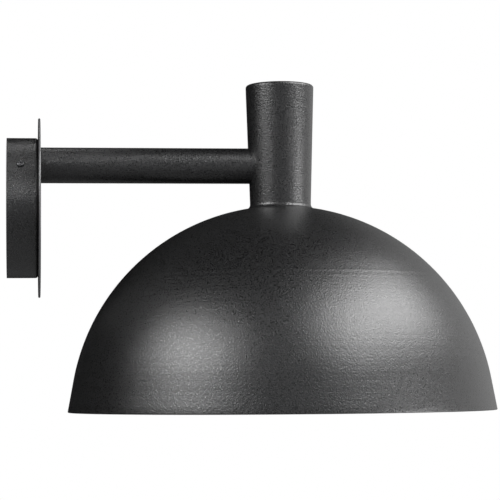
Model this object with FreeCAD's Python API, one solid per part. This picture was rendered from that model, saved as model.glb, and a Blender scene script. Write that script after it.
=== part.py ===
import FreeCAD
import Part
import math
import os

# Wall lamp with a spun dome shade hung under a straight arm.
# Millimetres. The origin is the centre of the wall cup's open back, on the wall.
# +X leaves the wall along the arm and +Z is up.

V = FreeCAD.Vector

# ---- Driving sizes ----

# Wall cup, drawn from sheet steel and open at the wall
cup_diameter = 97.5
cup_depth = 21.75
cup_wall = 1.2
cup_edge_radius = 2.0

# Flat disc between the cup and the arm
disc_diameter = 125.0
disc_thickness = 1.5

# Arm tube
arm_diameter = 25.0
arm_wall = 1.5
arm_rise = 30.0
arm_reach = 192.0

# Neck: a closed, slightly tapered cap that holds the lampholder
neck_top_diameter = 48.2
neck_foot_diameter = 43.0
neck_above_arm = 57.5
neck_below_arm = 26.5
neck_wall = 1.2
neck_edge_radius = 2.0

# Dome shade: straight skirt, spherical crown and a short collar under the neck
rim_diameter = 300.0
skirt_height = 22.5
skirt_slope = 10.5
shade_wall = 1.2
collar_fillet = 3.5
collar_height = 0.6

# Mounting plate behind the cup, with two bent tabs for the side screws
plate_thickness = 1.5
plate_gap = 3.0
tab_width = 12.0
tab_bend_radius = 1.5
tab_past_screw = 5.5
tab_gap = 0.4
wall_slot_spacing = 60.0
wall_slot_width = 4.5
wall_slot_length = 10.0
cable_hole_diameter = 16.0
cable_hole_drop = 24.0

# Side screws that hold the cup on the tabs
side_screw_angle = 33.0
side_screw_from_wall = 9.5
side_screw_length = 6.0

# Metric screws
m25_diameter = 2.5
m25_head_diameter = 4.5
m25_head_height = 1.6
m3_diameter = 3.0
m3_head_diameter = 5.7
m3_head_height = 1.7
m4_diameter = 4.0
m4_head_diameter = 7.6
m4_head_height = 2.6
hex_socket_width = 2.0
slot_width = 0.8
screw_hole_gap = 0.15
screw_end_gap = 0.3

# Slug brazed in the arm's wall end, and the three screws that pull it to the cup
plug_length = 8.0
arm_screw_circle = 16.0
arm_screw_count = 3
arm_screw_length = 10.0
lock_washer_thickness = 1.0
lock_washer_diameter = 7.4
lock_washer_split = 0.7

# Plastic bush that lines the wire hole through the slug
bush_bore = 6.6
bush_wall = 0.6
bush_gap = 0.1
bush_proud = 1.5
bush_flange_diameter = 12.0
bush_flange_thickness = 1.0

# Three-pole terminal block on the plate
pole_count = 3
pole_pitch = 13.0
pole_diameter = 8.0
pole_length = 17.0
pole_axis_height = 6.0
pole_web_thickness = 3.5
pole_web_depth = 12.0
chimney_diameter = 5.8
chimney_height = 12.0
chimney_spacing = 8.0
clamp_diameter = 5.2
clamp_bore = 3.0
clamp_length = 15.0
clamp_gap = 0.1
clamp_screw_length = 3.2
clamp_screw_head_diameter = 3.6
clamp_screw_head_height = 1.2

# Earth screw and its lug on the plate
earth_screw_across = 22.0
earth_screw_drop = 12.0
earth_screw_length = 6.0
earth_washer_thickness = 0.8
earth_washer_diameter = 9.0
lug_thickness = 0.8
lug_diameter = 8.4
lug_barrel_diameter = 3.8
lug_barrel_length = 7.0
lug_barrel_drop = 5.0

# Cross bar in the neck, which carries the lampholder
bar_above_foot = 11.5
bar_width = 12.0
bar_thickness = 1.5
bar_tab_height = 8.0
blade_width = 6.3
blade_thickness = 0.8
blade_height = 7.0
blade_across = 4.0
receptacle_wall = 0.5
receptacle_height = 6.5
receptacle_barrel_length = 4.5

# Lampholder: threaded barrel, metal screw shell and a sprung centre contact
holder_diameter = 39.6
holder_length = 38.5
holder_floor = 11.0
holder_top_diameter = 37.6
holder_screw_spacing = 18.0
holder_screw_length = 14.0
shell_bore = 25.5
shell_wall = 0.35
shell_gap = 0.15
shell_short = 1.0
shell_flange_bore = 13.0

# Centre contact
contact_drop = 3.0
nose_diameter = 4.4
nose_gap = 0.2
plunger_flange_diameter = 5.8
plunger_flange_thickness = 1.0
plunger_spigot_diameter = 2.4
plunger_spigot_length = 1.2
guide_diameter = 7.2
guide_wall = 0.5
guide_shoulder = 2.0
guide_top_cover = 2.5
spring_wire = 0.45
spring_turns = 4.0
spring_gap = 0.15

# Holder terminals, one on each side
terminal_offset = 13.2
terminal_length = 7.0
terminal_width = 6.4
terminal_height = 5.5
terminal_floor = 3.0
terminal_gap = 0.3
terminal_hole = 2.6
terminal_screw_head_diameter = 4.6
terminal_screw_head_height = 1.6
link_width = 4.4
link_thickness = 0.5
link_past_axis = 1.8
post_diameter = 2.4
post_offset = 11.0

# Ring that screws on the holder and clamps the shade
ring_flange_diameter = 58.0
ring_flange_thickness = 2.0
ring_height = 10.0
ring_wall = 3.0
ring_thread_gap = 0.1
ring_seat_gap = 0.05

# Lamp bulb: pear-shaped, with a 27 mm screw cap
bulb_length = 110.0
bulb_diameter = 60.0
cap_diameter = 24.8
cap_wall = 0.3
cap_to_tip = 27.0
insulator_height = 5.6
tip_diameter = 9.6
tip_height = 1.5
contact_gap = 0.02
body_neck_diameter = 27.4
body_tuck = 9.0
globe_wall = 1.2
globe_tuck = 3.0
globe_half_angle = 20.0
board_thickness = 1.6

# Insulated wires, and the short earth wire between block and lug
wire_diameter = 2.2
wire_end_short = 1.5
plate_wire_straight = 6.0
plate_wire_drop = 9.5

# ---- Places worked out from the sizes ----

cup_inner_radius = cup_diameter / 2 - cup_wall
cup_front_inside = cup_depth - cup_wall
disc_front = cup_depth + disc_thickness
arm_radius = arm_diameter / 2
arm_bore_radius = arm_radius - arm_wall

neck_foot_height = arm_rise - neck_below_arm
neck_top_height = arm_rise + neck_above_arm
neck_span = neck_top_height - neck_foot_height
neck_taper = math.atan2(neck_top_diameter / 2 - neck_foot_diameter / 2, neck_span)

collar_radius = neck_foot_diameter / 2
fillet_height = neck_foot_height - collar_height
slope = math.radians(skirt_slope)
skirt_run = skirt_height - shade_wall / 2 * (1 + math.sin(slope))
skirt_top_radius = (rim_diameter / 2 - shade_wall / 2 * (1 - math.cos(slope))
                    - skirt_run * math.tan(slope))
crown_radius = skirt_top_radius / math.cos(slope)
crown_rise = math.sqrt((crown_radius + collar_fillet) ** 2 - (collar_radius + collar_fillet) ** 2)
crown_centre_height = fillet_height - crown_rise
rim_height = crown_centre_height + crown_radius * math.sin(slope) - skirt_height

bar_height = neck_foot_height + bar_above_foot
holder_mouth_height = bar_height - holder_length
holder_floor_height = bar_height - holder_floor
shell_outer_radius = shell_bore / 2 + shell_wall
shell_flange_height = holder_floor_height - shell_wall
contact_height = holder_floor_height - contact_drop
guide_bottom = holder_floor_height + guide_shoulder
guide_top = bar_height - guide_top_cover
terminal_bottom = holder_floor_height + terminal_floor
terminal_screw_height = terminal_bottom + terminal_height / 2
bulb_tip_height = contact_height - contact_gap


# ---- Drawing helpers ----

class Outline:
    """A closed outline in the plane of radius and height, drawn edge by edge."""

    def __init__(self, radius, height):
        self.start = V(radius, 0, height)
        self.here = self.start
        self.edges = []

    def line(self, radius, height):
        end = V(radius, 0, height)
        self.edges.append(Part.makeLine(self.here, end))
        self.here = end
        return self

    def arc(self, centre, radius, first, last):
        """An arc about a centre, from the first angle to the last, in radians from +radius."""
        middle = (first + last) / 2
        points = [V(centre[0] + radius * math.cos(a), 0, centre[1] + radius * math.sin(a))
                  for a in (middle, last)]
        self.edges.append(Part.Arc(self.here, points[0], points[1]).toShape())
        self.here = points[1]
        return self

    def face(self):
        self.line(self.start.x, self.start.z)
        return Part.Face(Part.Wire(self.edges))

    def turned(self):
        """The outline turned about the height axis."""
        return self.face().revolve(V(0, 0, 0), V(0, 0, 1), 360)


def on_neck_axis(shape):
    """Moves a shape turned about +Z to the axis of neck, holder and bulb."""
    return shape.translated(V(arm_reach, 0, 0))


def facing_wall(shape, angle=0.0):
    """Turns a shape so that its +Z leaves the wall and its +X points at an angle from +Y."""
    c = math.cos(math.radians(angle))
    s = math.sin(math.radians(angle))
    turn = FreeCAD.Matrix(0, 0, 1, 0, c, -s, 0, 0, s, c, 0, 0, 0, 0, 0, 1)
    placed = shape.copy()
    placed.Placement = FreeCAD.Placement(turn).multiply(placed.Placement)
    return placed


def rod(diameter, start, end):
    """A round bar from one point to another."""
    along = end.sub(start)
    return Part.makeCylinder(diameter / 2, along.Length, start, along)


def pipe(diameter, bore, start, end):
    return rod(diameter, start, end).cut(rod(bore, start, end))


def block(low, high):
    """A box between its two opposite corners."""
    size = high.sub(low)
    return Part.makeBox(size.x, size.y, size.z, low)


def aimed(shape, place, direction):
    """Moves a shape drawn along +Z from the origin to a place, pointing in a direction."""
    placed = shape.copy()
    placed.Placement = FreeCAD.Placement(place, FreeCAD.Rotation(V(0, 0, 1), direction))
    return placed


def polar(radius, angle, distance):
    """A point at a radius and angle about the wall axis, at a distance from the wall."""
    a = math.radians(angle)
    return V(distance, radius * math.cos(a), radius * math.sin(a))


def arm_point(distance, radius=0.0, angle=0.0):
    """A point about the arm's axis, at a distance from the wall."""
    return polar(radius, angle, distance).add(V(0, 0, arm_rise))


def side_of_axis(across, height):
    """A point on the X line through the neck's axis."""
    return V(arm_reach + across, 0, height)


def screw(diameter, head_diameter, head_height, length, recess):
    """A screw along +Z with its head's underside at the origin and its head below."""
    head = Outline(0, 0)
    head.line(head_diameter / 2, 0)
    head.line(head_diameter / 2, -head_height * 0.35)
    head.line(head_diameter * 0.38, -head_height * 0.85)
    head.line(head_diameter * 0.25, -head_height)
    head.line(0, -head_height)
    solid = head.turned().fuse(rod(diameter, V(0, 0, 0), V(0, 0, length)))
    return solid.cut(recess.translated(V(0, 0, -head_height))).removeSplitter()


def hex_recess(depth):
    points = []
    for corner in range(7):
        a = math.radians(60 * corner)
        reach = hex_socket_width / math.sqrt(3)
        points.append(V(reach * math.cos(a), reach * math.sin(a), 0))
    return Part.Face(Part.makePolygon(points)).extrude(V(0, 0, depth))


def slot_recess(head_diameter, depth):
    return block(V(-head_diameter, -slot_width / 2, -depth), V(head_diameter, slot_width / 2, depth))


def cross_recess(head_diameter, depth):
    reach = head_diameter * 0.3
    one = block(V(-reach, -slot_width / 2, 0), V(reach, slot_width / 2, depth))
    other = block(V(-slot_width / 2, -reach, 0), V(slot_width / 2, reach, depth))
    return one.fuse(other)


# ---- Wall side ----

def cup_outline():
    radius = cup_diameter / 2
    corner = radius - cup_edge_radius
    level = cup_depth - cup_edge_radius
    inner_corner = cup_edge_radius - cup_wall
    outline = Outline(cup_inner_radius, 0)
    outline.line(radius, 0)
    outline.line(radius, level)
    outline.arc((corner, level), cup_edge_radius, 0, math.pi / 2)
    outline.line(0, cup_depth)
    outline.line(0, cup_front_inside)
    outline.line(corner, cup_front_inside)
    outline.arc((corner, level), inner_corner, math.pi / 2, 0)
    return outline


def side_screw_angles():
    return (side_screw_angle, 180 - side_screw_angle)


def side_screw_holes(diameter):
    """Radial holes through the cup's wall or the tabs, on both sides."""
    holes = []
    for angle in side_screw_angles():
        outside = polar(cup_diameter, angle, side_screw_from_wall)
        holes.append(rod(diameter, V(side_screw_from_wall, 0, 0), outside))
    return holes


def arm_screw_angles():
    return [90 + 360 / arm_screw_count * n for n in range(arm_screw_count)]


def arm_fixing_holes(start, end, screw_hole):
    """The wire hole and the ring of screw holes about the arm's axis."""
    bush_hole = bush_bore + 2 * (bush_wall + bush_gap)
    holes = [rod(bush_hole, arm_point(start), arm_point(end))]
    for angle in arm_screw_angles():
        near = arm_point(start, arm_screw_circle / 2, angle)
        far = arm_point(end, arm_screw_circle / 2, angle)
        holes.append(rod(screw_hole, near, far))
    return holes


def wall_cup():
    cup = facing_wall(cup_outline().turned())
    clearance = m4_diameter + 2 * screw_hole_gap
    cup = cup.cut(arm_fixing_holes(cup_front_inside - 1, cup_depth + 1, clearance))
    return cup.cut(side_screw_holes(m3_diameter + 2 * screw_hole_gap))


def front_disc():
    disc = rod(disc_diameter, V(cup_depth, 0, 0), V(disc_front, 0, 0))
    clearance = m4_diameter + 2 * screw_hole_gap
    return disc.cut(arm_fixing_holes(cup_depth - 1, disc_front + 1, clearance))


def cup_side_screws():
    button = screw(m3_diameter, m3_head_diameter, m3_head_height, side_screw_length,
                   hex_recess(m3_head_height * 0.6))
    screws = []
    for angle in side_screw_angles():
        seat = polar(cup_diameter / 2, angle, side_screw_from_wall)
        inward = V(side_screw_from_wall, 0, 0).sub(seat)
        screws.append(aimed(button, seat, inward))
    return Part.makeCompound(screws)


def bent_tab():
    """A tab bent forward from the plate, drawn with +X radial and +Z away from the wall."""
    outer = math.sqrt((cup_inner_radius - tab_gap) ** 2 - (tab_width / 2) ** 2)
    inner = outer - plate_thickness
    bend = tab_bend_radius + plate_thickness
    tip = side_screw_from_wall + tab_past_screw
    root = outer - 2 * bend
    outline = Outline(root, 0)
    outline.line(outer - bend, 0)
    outline.arc((outer - bend, bend), bend, -math.pi / 2, 0)
    outline.line(outer, tip)
    outline.line(inner, tip)
    outline.line(inner, bend)
    outline.arc((outer - bend, bend), tab_bend_radius, 0, -math.pi / 2)
    outline.line(root, plate_thickness)
    return outline.face().translated(V(0, -tab_width / 2, 0)).extrude(V(0, tab_width, 0))


def wall_slot(side):
    """A slot for a wall screw, long across the wall, at the given side."""
    half_run = (wall_slot_length - wall_slot_width) / 2
    centre = side * wall_slot_spacing / 2
    through = plate_thickness + 1
    ends = [rod(wall_slot_width, V(-1, centre + shift, 0), V(through, centre + shift, 0))
            for shift in (-half_run, half_run)]
    middle = block(V(-1, centre - half_run, -wall_slot_width / 2),
                   V(through, centre + half_run, wall_slot_width / 2))
    return middle.fuse(ends)


def mounting_plate():
    plate_diameter = 2 * (cup_inner_radius - plate_gap)
    through = plate_thickness + 1
    plate = rod(plate_diameter, V(0, 0, 0), V(plate_thickness, 0, 0))
    plate = plate.fuse([facing_wall(bent_tab(), angle) for angle in side_screw_angles()])
    cuts = [wall_slot(-1), wall_slot(1)]
    cuts.append(rod(cable_hole_diameter, V(-1, 0, -cable_hole_drop), V(through, 0, -cable_hole_drop)))
    cuts.append(rod(m4_diameter, V(-1, earth_screw_across, -earth_screw_drop),
                    V(through, earth_screw_across, -earth_screw_drop)))
    for across in web_middles():
        cuts.append(rod(m25_diameter, V(-1, across, 0), V(through, across, 0)))
    return plate.cut(cuts + side_screw_holes(m3_diameter)).removeSplitter()


def wall_end_plug():
    end = disc_front + plug_length
    plug = rod(2 * arm_bore_radius, arm_point(disc_front), arm_point(end))
    return plug.cut(arm_fixing_holes(disc_front - 1, end + 1, m4_diameter))


def wire_bush():
    sleeve_diameter = bush_bore + 2 * bush_wall
    plug_end = disc_front + plug_length
    flange_end = plug_end + bush_flange_thickness
    start = cup_front_inside - bush_proud
    sleeve = rod(sleeve_diameter, arm_point(start), arm_point(flange_end))
    flange = rod(bush_flange_diameter, arm_point(plug_end), arm_point(flange_end))
    bore = rod(bush_bore, arm_point(start - 1), arm_point(flange_end + 1))
    return sleeve.fuse(flange).cut(bore).removeSplitter()


def arm_screw_washers():
    """Split spring washers under the heads of the arm's screws."""
    near = cup_front_inside - lock_washer_thickness
    washers = []
    for angle in arm_screw_angles():
        start = arm_point(near, arm_screw_circle / 2, angle)
        end = arm_point(cup_front_inside, arm_screw_circle / 2, angle)
        ring = pipe(lock_washer_diameter, m4_diameter + 2 * screw_hole_gap, start, end)
        split = block(start.add(V(-1, -lock_washer_split / 2, 0)),
                      end.add(V(1, lock_washer_split / 2, lock_washer_diameter)))
        washers.append(ring.cut(split))
    return Part.makeCompound(washers)


def arm_screws():
    pan = screw(m4_diameter, m4_head_diameter, m4_head_height, arm_screw_length,
                cross_recess(m4_head_diameter, m4_head_height * 0.6))
    seat = cup_front_inside - lock_washer_thickness
    places = [arm_point(seat, arm_screw_circle / 2, angle) for angle in arm_screw_angles()]
    return Part.makeCompound([aimed(pan, place, V(1, 0, 0)) for place in places])


# ---- Terminal block and earth on the plate ----

def pole_places():
    first = -(pole_count - 1) / 2 * pole_pitch
    return [first + pole_pitch * n for n in range(pole_count)]


def web_middles():
    """Where the block's fixing screws pass, between the poles."""
    return [place + pole_pitch / 2 for place in pole_places()[:-1]]


def pole_axis():
    return plate_thickness + pole_axis_height


def chimney_places():
    return [V(0, across, side * chimney_spacing / 2) for across in pole_places() for side in (-1, 1)]


def terminal_block():
    half = pole_length / 2
    base = plate_thickness
    edge = pole_places()[-1]
    web_top = base + pole_web_thickness
    body = block(V(base, -edge, -pole_web_depth / 2), V(web_top, edge, pole_web_depth / 2))
    feet = []
    bores = []
    for across in pole_places():
        low = V(pole_axis(), across, -half)
        high = V(pole_axis(), across, half)
        feet.append(rod(pole_diameter, low, high))
        feet.append(block(V(base, across - pole_diameter / 2, -half),
                          V(pole_axis(), across + pole_diameter / 2, half)))
        bores.append(rod(clamp_diameter + clamp_gap, low, high))
    for place in chimney_places():
        top = place.add(V(base + chimney_height, 0, 0))
        feet.append(rod(chimney_diameter, place.add(V(pole_axis(), 0, 0)), top))
        bores.append(rod(clamp_screw_head_diameter + 2 * screw_hole_gap,
                         place.add(V(pole_axis(), 0, 0)), top.add(V(1, 0, 0))))
    for across in web_middles():
        bores.append(rod(m25_diameter + 2 * screw_hole_gap, V(0, across, 0), V(web_top + 1, across, 0)))
    return body.fuse(feet).cut(bores).removeSplitter()


def block_clamps():
    """Brass tubes in the poles, tapped for two screws each."""
    clamps = []
    taps = []
    for across in pole_places():
        clamps.append(pipe(clamp_diameter, clamp_bore, V(pole_axis(), across, -clamp_length / 2),
                           V(pole_axis(), across, clamp_length / 2)))
    for place in chimney_places():
        taps.append(rod(m25_diameter, place.add(V(pole_axis(), 0, 0)),
                        place.add(V(pole_axis() + clamp_diameter, 0, 0))))
    return Part.makeCompound([clamp.cut(taps) for clamp in clamps])


def block_clamp_screws():
    cheese = screw(m25_diameter, clamp_screw_head_diameter, clamp_screw_head_height,
                   clamp_screw_length, slot_recess(clamp_screw_head_diameter, 0.6))
    tip = pole_axis() + wire_diameter / 2
    seat = tip + clamp_screw_length
    return Part.makeCompound([aimed(cheese, place.add(V(seat, 0, 0)), V(-1, 0, 0))
                              for place in chimney_places()])


def block_screws():
    seat = plate_thickness + pole_web_thickness
    pan = screw(m25_diameter, m25_head_diameter, m25_head_height, seat - screw_end_gap,
                cross_recess(m25_head_diameter, m25_head_height * 0.6))
    return Part.makeCompound([aimed(pan, V(seat, across, 0), V(-1, 0, 0)) for across in web_middles()])


def earth_place(distance):
    return V(distance, earth_screw_across, -earth_screw_drop)


def earth_lug():
    """A ring lug flat on the plate with a crimped barrel that points down."""
    back = plate_thickness
    front = back + lug_thickness
    ring = rod(lug_diameter, earth_place(back), earth_place(front))
    barrel_axis = V(back + lug_barrel_diameter / 2, earth_screw_across, -earth_screw_drop)
    top = barrel_axis.add(V(0, 0, -lug_barrel_drop))
    bottom = top.add(V(0, 0, -lug_barrel_length))
    neck_half = lug_barrel_diameter / 2
    strap = block(V(back, earth_screw_across - neck_half, top.z - 1),
                  V(front, earth_screw_across + neck_half, -earth_screw_drop))
    lug = ring.fuse([strap, rod(lug_barrel_diameter, top, bottom)])
    lug = lug.cut(rod(m4_diameter + 2 * screw_hole_gap, earth_place(back - 1), earth_place(front + 1)))
    return lug.cut(rod(wire_diameter, top, bottom)).removeSplitter()


def earth_washer():
    start = plate_thickness + lug_thickness
    return pipe(earth_washer_diameter, m4_diameter + 2 * screw_hole_gap, earth_place(start),
                earth_place(start + earth_washer_thickness))


def earth_screw():
    seat = plate_thickness + lug_thickness + earth_washer_thickness
    length = min(earth_screw_length, seat - screw_end_gap)
    pan = screw(m4_diameter, m4_head_diameter, m4_head_height, length,
                cross_recess(m4_head_diameter, m4_head_height * 0.6))
    return aimed(pan, earth_place(seat), V(-1, 0, 0))


# ---- Arm and neck ----

def neck_radius(height, inset):
    """The neck's radius at a height, for a surface set in from the outside."""
    outside = collar_radius + (height - neck_foot_height) * math.tan(neck_taper)
    return outside - inset / math.cos(neck_taper)


def neck_core(inset, low, high):
    """The tapered space inside the neck between two heights, on the neck's axis."""
    outline = Outline(0, low)
    outline.line(neck_radius(low, inset), low)
    outline.line(neck_radius(high, inset), high)
    outline.line(0, high)
    return on_neck_axis(outline.turned())


def neck_outline():
    corner_height = neck_top_height - neck_edge_radius
    corner = (neck_radius(corner_height, neck_edge_radius), corner_height)
    under_top = neck_top_height - neck_wall
    inner_corner = neck_edge_radius - neck_wall
    side = -neck_taper
    outline = Outline(neck_radius(neck_foot_height, 0), neck_foot_height)
    outline.line(corner[0] + neck_edge_radius * math.cos(side),
                 corner[1] + neck_edge_radius * math.sin(side))
    outline.arc(corner, neck_edge_radius, side, math.pi / 2)
    outline.line(0, neck_top_height)
    outline.line(0, under_top)
    outline.line(corner[0], under_top)
    outline.arc(corner, inner_corner, math.pi / 2, side)
    outline.line(neck_radius(neck_foot_height, neck_wall), neck_foot_height)
    return outline


def neck():
    shape = on_neck_axis(neck_outline().turned())
    return shape.cut(rod(arm_diameter, arm_point(disc_front), arm_point(arm_reach)))


def arm_tube():
    """The tube enters the neck's wall and ends flush with the neck's inside."""
    tube = pipe(arm_diameter, 2 * arm_bore_radius, arm_point(disc_front), arm_point(arm_reach))
    inside = neck_core(neck_wall, arm_rise - arm_diameter, arm_rise + arm_diameter)
    return tube.cut(inside)


def cross_bar():
    """A strap across the neck with its ends bent up and formed to the neck's wall."""
    top = bar_height + bar_tab_height
    strap_top = bar_height + bar_thickness
    half = bar_width / 2
    reach = neck_top_diameter
    slab = block(V(arm_reach - half, -reach, bar_height), V(arm_reach + half, reach, top))
    bar = neck_core(neck_wall, bar_height, top).common(slab)
    bar = bar.cut(neck_core(neck_wall + bar_thickness, strap_top, top))
    blade = block(V(arm_reach + half - blade_thickness, blade_across - blade_width / 2, bar_height),
                  V(arm_reach + half, blade_across + blade_width / 2, strap_top + blade_height))
    bar = bar.fuse(blade)
    taps = [rod(m3_diameter, place, place.add(V(0, 0, bar_thickness * 2)))
            for place in holder_screw_places(bar_height - bar_thickness / 2)]
    return bar.cut(taps).removeSplitter()


def blade_middle(height):
    return V(arm_reach + bar_width / 2 - blade_thickness / 2, blade_across, height)


def earth_receptacle():
    """A push-on receptacle on the bar's blade, crimped to the earth wire."""
    low = bar_height + bar_thickness + (blade_height - receptacle_height) + receptacle_wall
    high = low + receptacle_height
    half_thick = blade_thickness / 2 + receptacle_wall
    half_wide = blade_width / 2 + receptacle_wall
    middle = blade_middle(low)
    sleeve = block(middle.sub(V(half_thick, half_wide, 0)),
                   middle.add(V(half_thick, half_wide, receptacle_height)))
    blade_space = block(middle.sub(V(blade_thickness / 2, blade_width / 2, 1)),
                        middle.add(V(blade_thickness / 2, blade_width / 2,
                                     receptacle_height - receptacle_wall)))
    barrel_top = high + receptacle_barrel_length
    barrel = rod(lug_barrel_diameter, blade_middle(high - 1), blade_middle(barrel_top))
    bore = rod(wire_diameter, blade_middle(high), blade_middle(barrel_top + 1))
    return sleeve.fuse(barrel).cut([blade_space, bore]).removeSplitter()


# ---- Shade ----

def shade_side(outline, inset, upwards):
    """Adds the shade's side to an outline, set in from the outside by a distance."""
    crown = (0.0, crown_centre_height)
    fillet = (collar_radius + collar_fillet, fillet_height)
    meet = math.atan2(crown_rise, collar_radius + collar_fillet)
    radius = crown_radius - inset
    fillet_radius = collar_fillet + inset
    skirt_top = (radius * math.cos(slope), crown_centre_height + radius * math.sin(slope))
    if upwards:
        outline.line(*skirt_top)
        outline.arc(crown, radius, slope, meet)
        outline.arc(fillet, fillet_radius, meet - math.pi, -math.pi)
        outline.line(collar_radius - inset, neck_foot_height)
        return outline
    outline.line(collar_radius - inset, neck_foot_height)
    outline.line(collar_radius - inset, fillet_height)
    outline.arc(fillet, fillet_radius, -math.pi, meet - math.pi)
    outline.arc(crown, radius, meet, slope)
    return outline


def dome_shade():
    """One wall thickness all over, ending in a half-round rim."""
    half = shade_wall / 2
    bead = (rim_diameter / 2 - half, rim_height + half)
    outside = (bead[0] + half * math.cos(slope), bead[1] + half * math.sin(slope))
    inside = (bead[0] - half * math.cos(slope), bead[1] - half * math.sin(slope))
    outline = Outline(*outside)
    shade_side(outline, 0, True)
    shade_side(outline, shade_wall, False)
    outline.line(*inside)
    outline.arc(bead, half, math.pi + slope, 2 * math.pi)
    outline.arc(bead, half, 0, slope)
    return on_neck_axis(Part.Face(Part.Wire(outline.edges)).revolve(V(0, 0, 0), V(0, 0, 1), 360))


def shade_ring():
    """Flanged ring, threaded on the holder's barrel, whose flange meets the crown."""
    seat = crown_radius - shade_wall - ring_seat_gap
    inner = holder_diameter / 2 + ring_thread_gap
    hub = inner + ring_wall
    rim = ring_flange_diameter / 2
    hub_angle = math.acos(hub / seat)
    rim_angle = math.acos(rim / seat)
    hub_top = crown_centre_height + seat * math.sin(hub_angle)
    rim_top = crown_centre_height + seat * math.sin(rim_angle)
    foot = hub_top - ring_height
    outline = Outline(inner, foot)
    outline.line(hub, foot)
    outline.line(hub, rim_top - ring_flange_thickness)
    outline.line(rim, rim_top - ring_flange_thickness)
    outline.line(rim, rim_top)
    outline.arc((0, crown_centre_height), seat, rim_angle, hub_angle)
    outline.line(inner, hub_top)
    return on_neck_axis(outline.turned())


# ---- Lampholder ----

def holder_screw_places(height):
    return [V(arm_reach, side * holder_screw_spacing / 2, height) for side in (-1, 1)]


def terminal_pocket(side):
    """Room for a terminal, open at the top and outwards."""
    inner = terminal_offset - terminal_length / 2 - terminal_gap
    half = terminal_width / 2 + terminal_gap
    xs = sorted((arm_reach + side * inner, arm_reach + side * holder_diameter / 2))
    return block(V(xs[0], -half, terminal_bottom), V(xs[1], half, bar_height + 1))


def holder_body():
    outline = Outline(shell_outer_radius + shell_gap, holder_mouth_height)
    outline.line(holder_diameter / 2, holder_mouth_height)
    outline.line(holder_diameter / 2, neck_foot_height)
    outline.line(holder_top_diameter / 2, neck_foot_height)
    outline.line(holder_top_diameter / 2, bar_height)
    outline.line(0, bar_height)
    outline.line(0, holder_floor_height)
    outline.line(shell_outer_radius + shell_gap, holder_floor_height)
    body = on_neck_axis(outline.turned())
    cuts = [terminal_pocket(-1), terminal_pocket(1)]
    nose_hole = nose_diameter + 2 * nose_gap
    cuts.append(rod(nose_hole, side_of_axis(0, holder_floor_height - 1), side_of_axis(0, bar_height)))
    cuts.append(rod(guide_diameter, side_of_axis(0, guide_bottom), side_of_axis(0, bar_height + 1)))
    link_half = link_width / 2 + terminal_gap
    cuts.append(block(V(arm_reach, -link_half, guide_top - link_thickness),
                      V(arm_reach + terminal_offset, link_half, bar_height + 1)))
    cuts.append(rod(post_diameter, side_of_axis(-post_offset, holder_floor_height - 1),
                    side_of_axis(-post_offset, terminal_bottom + 1)))
    for place in holder_screw_places(holder_floor_height - 1):
        cuts.append(rod(m3_diameter + 2 * screw_hole_gap, place, place.add(V(0, 0, holder_floor + 2))))
    return body.cut(cuts).removeSplitter()


def screw_shell():
    """Thin metal shell with an inward flange under the holder's floor."""
    bottom = holder_mouth_height + shell_short
    outline = Outline(shell_bore / 2, bottom)
    outline.line(shell_outer_radius, bottom)
    outline.line(shell_outer_radius, holder_floor_height)
    outline.line(shell_flange_bore / 2, holder_floor_height)
    outline.line(shell_flange_bore / 2, shell_flange_height)
    outline.line(shell_bore / 2, shell_flange_height)
    shell = on_neck_axis(outline.turned())
    holes = [rod(m3_diameter + 2 * screw_hole_gap, place, place.add(V(0, 0, 2)))
             for place in holder_screw_places(shell_flange_height - 1)]
    return shell.cut(holes)


def holder_screws():
    """Screws from inside the shell through the floor into the cross bar."""
    pan = screw(m3_diameter, m3_head_diameter, m3_head_height, holder_screw_length,
                cross_recess(m3_head_diameter, m3_head_height * 0.6))
    return Part.makeCompound([aimed(pan, place, V(0, 0, 1))
                              for place in holder_screw_places(shell_flange_height)])


def contact_guide():
    """Brass cup that guides the plunger and takes the spring's push."""
    bore = guide_diameter - 2 * guide_wall
    cup = rod(guide_diameter, side_of_axis(0, guide_bottom), side_of_axis(0, guide_top))
    return cup.cut(rod(bore, side_of_axis(0, guide_bottom - 1), side_of_axis(0, guide_top - guide_wall)))


def contact_plunger():
    nose = rod(nose_diameter, side_of_axis(0, contact_height), side_of_axis(0, guide_bottom))
    flange_top = guide_bottom + plunger_flange_thickness
    flange = rod(plunger_flange_diameter, side_of_axis(0, guide_bottom),
                 side_of_axis(0, flange_top))
    spigot = rod(plunger_spigot_diameter, side_of_axis(0, flange_top),
                 side_of_axis(0, flange_top + plunger_spigot_length))
    return nose.fuse([flange, spigot]).removeSplitter()


def unit(vector):
    return vector * (1 / vector.Length)


def tangent_arc(start, heading, end):
    """The arc that leaves a point along a heading and passes through another point."""
    chord = end.sub(start)
    turn = heading.getAngle(chord)
    sideways = heading * (chord.Length / math.cos(turn) / 2) - chord * 0.5
    bulge = sideways * (math.tan(turn / 2) / math.tan(turn))
    return Part.Arc(start, start.add(chord * 0.5).add(bulge), end).toShape()


def biarc(start, start_heading, end, end_heading):
    """Two arcs that meet smoothly and keep the headings at both ends."""
    span = end.sub(start)
    both = start_heading.add(end_heading)
    spread = 2 * (1 - start_heading.dot(end_heading))
    along = span.dot(both)
    reach = (math.sqrt(along ** 2 + spread * span.dot(span)) - along) / spread
    joint = start.add(start_heading * reach).add(end.sub(end_heading * reach)) * 0.5
    second = tangent_arc(end, end_heading * -1, joint)
    return [tangent_arc(start, start_heading, joint), second]


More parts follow.
